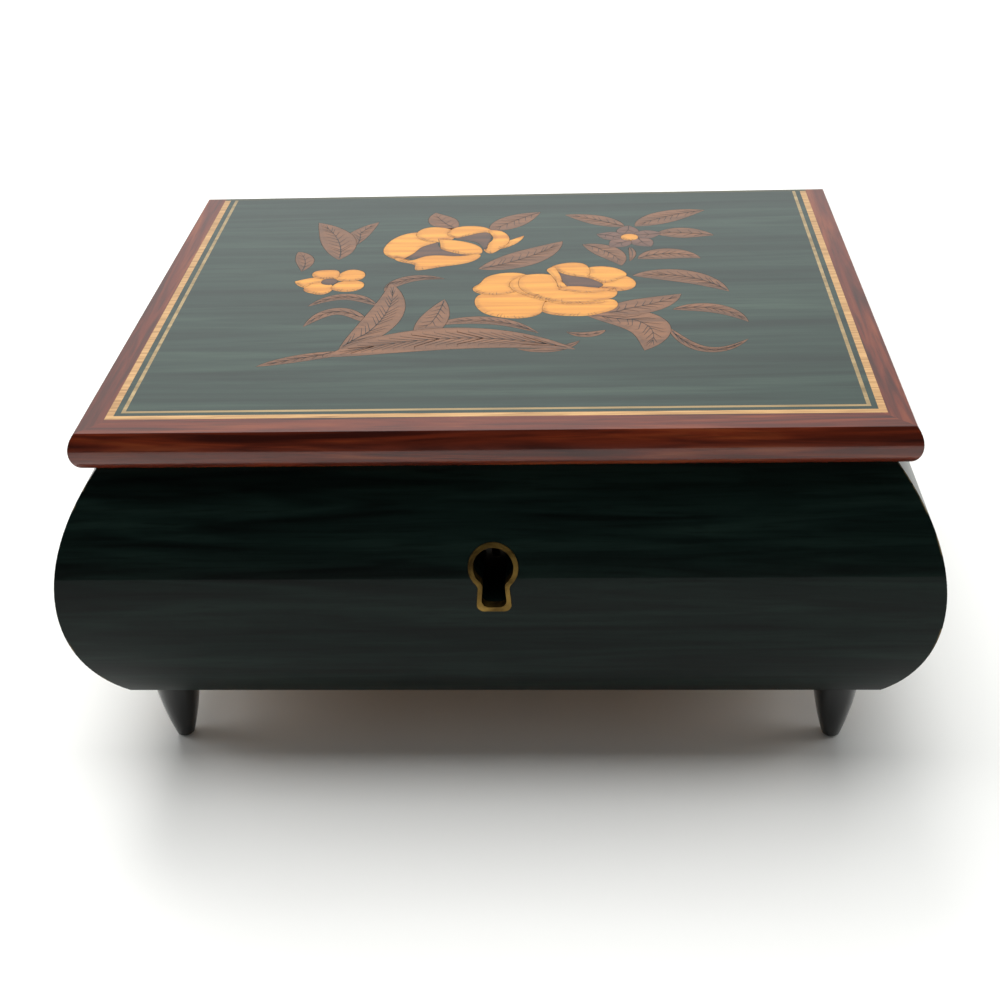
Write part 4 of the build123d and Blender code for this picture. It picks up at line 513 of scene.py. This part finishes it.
def new_piece(name: str, mesh: bpy.types.Mesh, body: str,
              material: bpy.types.Material) -> bpy.types.Object:
    """Add a piece that rides on a body.

    Args:
        name: the piece's name.
        mesh: its mesh, in the model's frame.
        body: the body that carries it.
        material: the finish.

    Returns:
        The new object.
    """
    piece = bpy.data.objects.new(name, mesh)
    bpy.context.scene.collection.objects.link(piece)
    mesh.materials.append(material)
    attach(piece, body)
    log.info("made %s on %s", name, body)
    return piece


@dataclass
class Body:
    """Walls, feet, base and the line round the keyhole."""

    finishes: Finishes

    def dress(self) -> None:
        """Finish the outside of the box."""
        dress(("front_wall", "back_wall"), self.finishes.body_across)
        dress(("left_wall", "right_wall"), self.finishes.body_deep)
        dress((f"foot_{end}_{side}" for end in ("front", "back") for side in ("left", "right")),
              self.finishes.black)
        dress(("base_panel",), self.finishes.plain)
        dress(("keyhole_escutcheon",), self.finishes.old_brass)


@dataclass
class Interior:
    """Dividers, velvet bays, lock and the clear cover."""

    finishes: Finishes

    def dress(self) -> None:
        """Finish everything inside the walls."""
        dress(("compartment_divider", "movement_divider", "cover_cleats"), self.finishes.plain)
        dress(("jewel_lining", "ring_lining"), self.finishes.velvet)
        dress(("movement_cover",), self.finishes.clear)
        dress(("lock_case", "lock_bolt"), self.finishes.lock_steel)
        dress(("lid_link_plate",), self.finishes.brass)


@dataclass
class Hinges:
    """Two butt hinges with their pins and screws."""

    finishes: Finishes

    def dress(self) -> None:
        """Finish the hinges."""
        for side in ("left", "right"):
            dress((f"hinge_leaf_lower_{side}", f"hinge_leaf_upper_{side}", f"hinge_pin_{side}"),
                  self.finishes.brass)
        dress(("hinge_screws_lower", "hinge_screws_upper"), self.finishes.brass)


@dataclass
class Movement:
    """The key-wound movement."""

    finishes: Finishes

    def dress(self) -> None:
        """Finish the movement's own metal and plastic."""
        dress(("bedplate",), self.finishes.zinc)
        dress(("comb", "comb_screws", "movement_screws", "cylinder_pins", "winding_arbor",
               "winding_key", "governor_bracket", "stop_lever", "stop_rod", "barrel_lid"),
              self.finishes.steel)
        dress(("music_cylinder", "cylinder_arbor", "spring_barrel", "governor_wheel"),
              self.finishes.brass)
        dress(("mainspring",), self.finishes.blued)
        dress(("governor_fly",), self.finishes.plastic)


@dataclass
class Marquetry:
    """The inlaid flowers, shaded from edge to middle piece by piece."""

    finishes: Finishes
    edge_width: float = 1.5 * MM
    light_from: Vector = field(default_factory=lambda: Vector((0.35, 0.94)))
    deepest: float = 0.85

    def islands(self, source: bpy.types.Mesh) -> list[list[Vector]]:
        """Outlines of the top faces of each separate inlaid piece.

        Args:
            source: the node's mesh.

        Returns:
            One closed list of corners for each piece.
        """
        top = max(vertex.co.z for vertex in source.vertices)
        shape = bmesh.new()
        shape.from_mesh(source)
        bmesh.ops.remove_doubles(shape, verts=shape.verts, dist=0.002 * MM)
        flat = [face for face in shape.faces
                if abs(face.normal.z) > 0.9 and face.calc_center_median().z > top - 0.1 * MM]
        others = set(shape.faces) - set(flat)
        bmesh.ops.delete(shape, geom=list(others), context="FACES")
        outlines = []
        unseen = {edge for edge in shape.edges if edge.is_boundary}
        while unseen:
            edge = min(unseen, key=lambda item: item.index)
            unseen.discard(edge)
            start, at = edge.verts
            loop = [start.co.copy()]
            while at is not start:
                loop.append(at.co.copy())
                onward = [item for item in at.link_edges if item in unseen]
                if not onward:
                    break
                unseen.discard(onward[0])
                at = onward[0].other_vert(at)
            if len(loop) > 3:
                outlines.append(loop)
        shape.free()
        return outlines

    def shaded_plate(self, name: str, node: str) -> bpy.types.Mesh:
        """A finely divided top for a node's pieces, with shading stored on its corners.

        Args:
            name: the mesh's name.
            node: the node whose outlines are followed.

        Returns:
            The new mesh.
        """
        shape = bmesh.new()
        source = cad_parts[node].data
        shape.from_mesh(source)
        bmesh.ops.remove_doubles(shape, verts=shape.verts, dist=0.002 * MM)
        outlines = self.islands(source)
        top = max(vertex.co.z for vertex in shape.verts)
        upper = [face for face in shape.faces
                 if abs(face.normal.z) > 0.9 and face.calc_center_median().z > top - 0.1 * MM]
        for _ in range(3):
            long_edges = {edge for face in upper if face.is_valid for edge in face.edges
                          if edge.calc_length() > 0.9 * MM}
            if not long_edges:
                break
            bmesh.ops.subdivide_edges(shape, edges=list(long_edges), cuts=1)
            upper = [face for face in shape.faces
                     if abs(face.normal.z) > 0.9 and face.calc_center_median().z > top - 0.1 * MM]
            bmesh.ops.triangulate(shape, faces=[face for face in upper if len(face.verts) > 3])
            upper = [face for face in shape.faces
                     if abs(face.normal.z) > 0.9 and face.calc_center_median().z > top - 0.1 * MM]
        mesh = bpy.data.meshes.new(name)
        shape.to_mesh(mesh)
        shape.free()
        self.store_shade(mesh, outlines)
        return mesh

    def store_shade(self, mesh: bpy.types.Mesh, outlines: list[list[Vector]]) -> None:
        """Store on each corner how scorched it is, from its distance to the piece's edge.

        Args:
            mesh: the plate.
            outlines: closed outlines of its pieces.
        """
        shades = mesh.attributes.new("shade", "FLOAT", "POINT")
        boxes = [(min(p.x for p in line), max(p.x for p in line),
                  min(p.y for p in line), max(p.y for p in line)) for line in outlines]
        slack = 0.01 * MM
        for index, vertex in enumerate(mesh.vertices):
            at = vertex.co.to_2d()
            best, toward = None, Vector((0, 0))
            for line, (x_low, x_high, y_low, y_high) in zip(outlines, boxes):
                if not (x_low - slack <= at.x <= x_high + slack
                        and y_low - slack <= at.y <= y_high + slack):
                    continue
                for first, second in zip(line, line[1:] + line[:1]):
                    one, span = first.to_2d(), second.to_2d() - first.to_2d()
                    if span.length_squared < 1e-14:
                        continue
                    share = max(0.0, min(1.0, (at - one).dot(span) / span.length_squared))
                    away = one + span * share - at
                    if best is None or away.length < best:
                        best, toward = away.length, away
            near = 0.0 if best is None else max(0.0, 1.0 - best / self.edge_width)
            facing = 0.0
            if toward.length > 1e-7:
                facing = max(0.0, -toward.normalized().dot(self.light_from))
            shades.data[index].value = self.deepest * near * (0.30 + 0.70 * facing)

    def build(self) -> None:
        """Replace each inlay node with its shaded plate."""
        for node, slot, material in (
                ("inlay_rose", "pale_inlay", self.finishes.petal),
                ("inlay_second_rose", "pale_inlay", self.finishes.petal),
                ("inlay_small_flower", "pale_inlay", self.finishes.petal),
                ("inlay_hearts", "dark_inlay", self.finishes.throat),
                ("inlay_leaves", "leaf_inlay", self.finishes.leaf),
                ("inlay_star_flower", "star_inlay", self.finishes.star)):
            mesh = self.shaded_plate(node + "_plate", node)
            piece = new_piece(node.replace("inlay_", "shaded_"), mesh, "lid", material)
            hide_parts(node)


@dataclass(frozen=True)
class Stroke:
    """One engraved line on the marquetry, filled with dark mastic."""

    points: tuple[Vector, ...]
    width: float
    tapered: bool = True


@dataclass
class Engraving:
    """Fine dark lines cut into the leaves and petals: midribs, veins and shading strokes."""

    finishes: Finishes
    marquetry: Marquetry
    lift: float = 0.03 * MM
    rib_width: float = 0.34 * MM
    vein_width: float = 0.20 * MM
    stroke_width: float = 0.13 * MM
    vein_spacing: float = 2.3 * MM
    stroke_spacing: float = 0.85 * MM
    stroke_length: float = 2.3 * MM
    shortest_stroke: float = 0.50
    samples: int = 25

    def resampled(self, line: list[Vector], count: int) -> list[Vector]:
        """Evenly spaced points along an open line.

        Args:
            line: its corners.
            count: how many points to give.

        Returns:
            The points, ends included.
        """
        runs = [0.0]
        for first, second in zip(line, line[1:]):
            runs.append(runs[-1] + (second - first).length)
        result, at = [], 0
        for step in range(count):
            goal = runs[-1] * step / (count - 1)
            while at < len(line) - 2 and runs[at + 1] < goal:
                at += 1
            part = runs[at + 1] - runs[at]
            share = 0.0 if part < 1e-9 else min(1.0, max(0.0, (goal - runs[at]) / part))
            result.append(line[at].lerp(line[at + 1], share))
        return result

    def sides(self, outline: list[Vector]) -> tuple[list[Vector], list[Vector]]:
        """The two sides of a blade, from one tip to the other.

        Args:
            outline: closed outline of the blade.

        Returns:
            Matching points along both sides.
        """
        flat = [point.to_2d() for point in outline]
        pairs = [((flat[i] - flat[j]).length, i, j)
                 for i in range(len(flat)) for j in range(i)]
        _, high, low = max(pairs)
        one = outline[low:high + 1]
        other = outline[high:] + outline[:low + 1]
        return (self.resampled(one, self.samples),
                self.resampled(other[::-1], self.samples))

    def leaf_strokes(self, outline: list[Vector]) -> list[Stroke]:
        """A midrib and swept-back veins.

        Args:
            outline: closed outline of the leaf.

        Returns:
            Its strokes.
        """
        left, right = self.sides(outline)
        rib = [a.lerp(b, 0.5) for a, b in zip(left, right)]
        length = sum((b - a).length for a, b in zip(rib, rib[1:]))
        widest = max((a - b).length for a, b in zip(left, right))
        strokes = [Stroke(tuple(rib[1:-2]), self.rib_width)]
        if widest < 2.0 * MM:
            return strokes
        veins = max(2, int(length / self.vein_spacing))
        for number in range(1, veins):
            at = 1 + round((self.samples - 5) * number / veins)
            onward = min(at + 3, self.samples - 1)
            for side in (left, right):
                root, edge = rib[at], side[onward]
                middle = root.lerp(edge, 0.5) + (rib[at] - rib[at - 1]) * 0.9
                tip = root.lerp(edge, 0.80)
                strokes.append(Stroke((root, middle.lerp(tip, 0.25), tip), self.vein_width))
        return strokes

    def petal_strokes(self, outline: list[Vector]) -> list[Stroke]:
        """Short strokes from the shaded edge towards the middle.

        Args:
            outline: closed outline of the petal.

        Returns:
            Its strokes.
        """
        centre = sum(outline, Vector()) / len(outline)
        around = outline + outline[:1]
        length = sum((b - a).length for a, b in zip(around, around[1:]))
        count = max(6, int(length / self.stroke_spacing))
        strokes = []
        for number, start in enumerate(self.resampled(around, count)[:-1]):
            inward = centre - start
            reach = inward.length
            if reach < 0.6 * MM:
                continue
            inward.normalize()
            facing = inward.to_2d().dot(self.marquetry.light_from)
            if facing < 0.25:
                continue
            varied = 0.55 + 0.45 * sin(2.4 * number) * cos(1.1 * number)
            if varied < self.shortest_stroke:
                continue
            run = min(self.stroke_length * varied * facing, 0.45 * reach)
            bend = Vector((-inward.y, inward.x, 0)) * (0.08 * run)
            first = start + inward * (0.10 * MM)
            strokes.append(Stroke((first, first + inward * (run / 2) + bend,
                                   first + inward * run), self.stroke_width))
        return strokes

    def ribbon(self, shape: bmesh.types.BMesh, stroke: Stroke, level: float) -> None:
        """Add one thin flat stroke.

        Args:
            shape: the mesh being built.
            stroke: its line.
            level: height of its face.
        """
        points = [Vector((p.x, p.y, level)) for p in stroke.points]
        count = len(points) - 1
        before: Optional[tuple] = None
        for index, point in enumerate(points):
            along = points[min(index + 1, count)] - points[max(index - 1, 0)]
            if along.length < 1e-8:
                return
            across = Vector((-along.y, along.x, 0)).normalized()
            share = index / count
            half = stroke.width / 2 * ((1.0 - 0.85 * share) if stroke.tapered else 1.0)
            pair = (shape.verts.new(point + across * half), shape.verts.new(point - across * half))
            if before:
                shape.faces.new((before[0], before[1], pair[1], pair[0]))
            before = pair

    def build(self) -> None:
        """Engrave the leaves, the petals and the star flower."""
        groups = (("engraved_leaves", ("inlay_leaves", "inlay_star_flower"), self.leaf_strokes),
                  ("engraved_petals", ("inlay_rose", "inlay_second_rose", "inlay_small_flower"),
                   self.petal_strokes))
        for name, nodes, drawn in groups:
            shape = bmesh.new()
            for node in nodes:
                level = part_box(node)[1].z + self.lift
                for outline in self.marquetry.islands(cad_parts[node].data):
                    for stroke in drawn(outline):
                        self.ribbon(shape, stroke, level)
            bmesh.ops.recalc_face_normals(shape, faces=shape.faces)
            for face in shape.faces:
                if face.normal.z < 0:
                    face.normal_flip()
            mesh = bpy.data.meshes.new(name)
            shape.to_mesh(mesh)
            shape.free()
            new_piece(name, mesh, "lid", self.finishes.ink)


@dataclass
class Lid:
    """Lid board, mouldings, stringing, veneer and padded lining."""

    finishes: Finishes
    quilts: int = 5

    def dress(self) -> None:
        """Finish the lid's wood."""
        dress(("lid_core",), self.finishes.plain)
        dress(("lid_edge_front",), self.finishes.red_across)
        dress(("lid_edge_left", "lid_edge_right"), self.finishes.red_deep)
        dress(("lid_edge_back",), self.finishes.olive)
        dress(("lid_string_outer",), self.finishes.cream)
        dress(("lid_string_inner",), self.finishes.fine_cream)
        dress(("lid_field",), self.finishes.field)

    def pad(self) -> None:
        """Padded velvet panel under the lid, crowned between its stitched edges."""
        low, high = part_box("lid_lining")
        shape = bmesh.new()
        steps_x, steps_y = 72, 56
        grid = []
        for row in range(steps_y + 1):
            line = []
            for column in range(steps_x + 1):
                u, v = column / steps_x, row / steps_y
                x = low.x + (high.x - low.x) * u
                y = low.y + (high.y - low.y) * v
                rise = (sin(pi * u) * sin(pi * v)) ** 0.28
                ripple = 0.10 * sin(self.quilts * pi * u) * sin(self.quilts * pi * v)
                depth = (high.z - low.z) * (0.32 + 0.62 * rise + 0.5 * ripple * rise)
                line.append(shape.verts.new((x, y, high.z - min(depth, high.z - low.z))))
            grid.append(line)
        for row in range(steps_y):
            for column in range(steps_x):
                shape.faces.new((grid[row][column], grid[row + 1][column],
                                 grid[row + 1][column + 1], grid[row][column + 1]))
        border = [edge for edge in shape.edges if edge.is_boundary]
        lifted = bmesh.ops.extrude_edge_only(shape, edges=border)
        for item in lifted["geom"]:
            if isinstance(item, bmesh.types.BMVert):
                item.co.z = high.z
        rim = [edge for edge in shape.edges if edge.is_boundary]
        bmesh.ops.contextual_create(shape, geom=rim)
        bmesh.ops.recalc_face_normals(shape, faces=shape.faces)
        mesh = bpy.data.meshes.new("lid_pad")
        shape.to_mesh(mesh)
        shape.free()
        for polygon in mesh.polygons:
            polygon.use_smooth = len(polygon.vertices) == 4
        piece = new_piece("lid_pad", mesh, "lid", self.finishes.velvet)
        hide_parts("lid_lining")


@dataclass
class Studio:
    """Pale floor, soft light and the camera."""

    camera_place: Vector = field(default_factory=lambda: Vector((17.5, -327.0, 223.1)) * MM)
    yaw: float = -3.52
    pitch: float = 30.99
    roll: float = -2.2
    lens: float = 55.4
    sensor: float = 36.0
    clip: float = 0.01
    table_reach: float = 6.0
    unlit_from: float = -0.284
    unlit_wall: float = -1.0
    unlit_top: float = 3.0
    unlit_lift: float = 0.0005
    room_front: Colour = (0.20, 0.205, 0.205)
    room_back: Colour = (0.66, 0.70, 0.70)

    def floor(self) -> None:
        """A wide pale table top."""
        mesh = bpy.data.meshes.new("floor")
        half = self.table_reach
        mesh.from_pydata([(-half, -half, 0), (half, -half, 0), (half, half, 0), (-half, half, 0)],
                         [], [(0, 1, 2, 3)])
        sheet = bpy.data.objects.new("floor", mesh)
        bpy.context.scene.collection.objects.link(sheet)
        nodes = Nodes("pale_floor")
        tone = nodes.noise(nodes.place((1, 1, 1)), 3.0, 2.0)
        nodes.link(nodes.ramp(tone, [(0.3, (0.85, 0.85, 0.825)), (0.7, (0.88, 0.88, 0.86))]),
                   nodes.shader.inputs["Base Color"])
        nodes.set(Roughness=0.42, Specular_IOR_Level=0.30)
        mesh.materials.append(nodes.material)

    def dark_room(self) -> None:
        """The unlit end of the room, which only glossy reflections see."""
        mesh = bpy.data.meshes.new("dark_room")
        reach, lift = self.table_reach, self.unlit_lift
        table = [(-reach, -reach, lift), (reach, -reach, lift),
                 (reach, self.unlit_from, lift), (-reach, self.unlit_from, lift)]
        wall = [(-reach, self.unlit_wall, lift), (reach, self.unlit_wall, lift),
                (reach, self.unlit_wall, self.unlit_top),
                (-reach, self.unlit_wall, self.unlit_top)]
        mesh.from_pydata(table + wall, [], [(0, 1, 2, 3), (4, 5, 6, 7)])
        sheet = bpy.data.objects.new("dark_room", mesh)
        bpy.context.scene.collection.objects.link(sheet)
        nodes = Nodes("unlit_table")
        tone = nodes.noise(nodes.place((1, 1, 1)), 3.0, 2.0)
        nodes.link(nodes.ramp(tone, [(0.3, (0.004, 0.004, 0.004)), (0.7, (0.007, 0.007, 0.007))]),
                   nodes.shader.inputs["Base Color"])
        nodes.set(Roughness=0.9, Specular_IOR_Level=0.0)
        mesh.materials.append(nodes.material)
        sheet.visible_camera = False
        sheet.visible_diffuse = False
        sheet.visible_shadow = False

    def light(self, name: str, place: tuple[float, float, float],
              aim: tuple[float, float, float], size: tuple[float, float], power: float,
              colour: Optional[Colour] = None) -> None:
        """One soft rectangular light.

        Args:
            name: its name.
            place: where it hangs.
            aim: the point that it faces.
            size: width and height.
            power: watts.
            colour: tint, or plain white.
        """
        lamp = bpy.data.lights.new(name, "AREA")
        lamp.shape = "RECTANGLE"
        lamp.size, lamp.size_y = size
        lamp.energy = power
        lamp.color = colour or (1.0, 1.0, 1.0)
        holder = bpy.data.objects.new(name, lamp)
        holder.location = place
        facing = Vector(aim) - Vector(place)
        holder.rotation_euler = facing.to_track_quat("-Z", "Y").to_euler()
        bpy.context.scene.collection.objects.link(holder)

    def lights(self) -> None:
        """Soft light from above, behind and both sides, in a room palest at the back."""
        self.light("window", (-0.5, 1.5, 1.9), (0.0, 0.0, 0.05), (1.6, 1.0), 29.0,
                   (1.0, 0.99, 0.97))
        self.light("ceiling", (0.0, 0.2, 2.0), (0.0, 0.0, 0.0), (2.2, 1.6), 38.0)
        self.light("left_side", (-1.6, 0.2, 1.0), (0.0, 0.0, 0.03), (0.9, 0.9), 7.0)
        self.light("right_side", (1.6, 0.2, 1.0), (0.0, 0.0, 0.03), (0.9, 0.9), 7.0)
        world = bpy.data.worlds.new("room")
        world.use_nodes = True
        tree = world.node_tree
        coords = tree.nodes.new("ShaderNodeTexCoord")
        split = tree.nodes.new("ShaderNodeSeparateXYZ")
        ramp = tree.nodes.new("ShaderNodeValToRGB")
        tree.links.new(coords.outputs["Generated"], split.inputs[0])
        tree.links.new(split.outputs["Y"], ramp.inputs["Fac"])
        ramp.color_ramp.elements[0].position = 0.15
        ramp.color_ramp.elements[0].color = (*self.room_front, 1.0)
        ramp.color_ramp.elements[1].position = 0.97
        ramp.color_ramp.elements[1].color = (*self.room_back, 1.0)
        background = tree.nodes["Background"]
        tree.links.new(ramp.outputs["Color"], background.inputs["Color"])
        background.inputs["Strength"].default_value = 1.0
        bpy.context.scene.world = world
        bpy.context.scene.view_settings.view_transform = "Standard"

    def camera(self) -> None:
        """The view from the front and above."""
        data = bpy.data.cameras.new("camera")
        data.lens = self.lens
        data.sensor_width = self.sensor
        data.clip_start = self.clip
        holder = bpy.data.objects.new("camera", data)
        holder.location = self.camera_place
        aim = Euler((radians(90 - self.pitch), 0.0, radians(-self.yaw)), "XYZ").to_matrix()
        spin = Euler((0.0, 0.0, radians(self.roll)), "XYZ").to_matrix()
        holder.rotation_euler = (aim @ spin).to_euler()
        bpy.context.scene.collection.objects.link(holder)
        bpy.context.scene.camera = holder

    def build(self) -> None:
        """Set the studio up."""
        self.floor()
        self.dark_room()
        self.lights()
        self.camera()


def main() -> None:
    """Build every sub-assembly in order."""
    logging.basicConfig(level=logging.INFO, format="%(message)s")
    Studio().build()
    finishes = Finishes()
    Body(finishes).dress()
    Interior(finishes).dress()
    Hinges(finishes).dress()
    Movement(finishes).dress()
    lid = Lid(finishes)
    lid.dress()
    lid.pad()
    marquetry = Marquetry(finishes)
    marquetry.build()
    Engraving(finishes, marquetry).build()


if __name__ == "__main__":
    main()
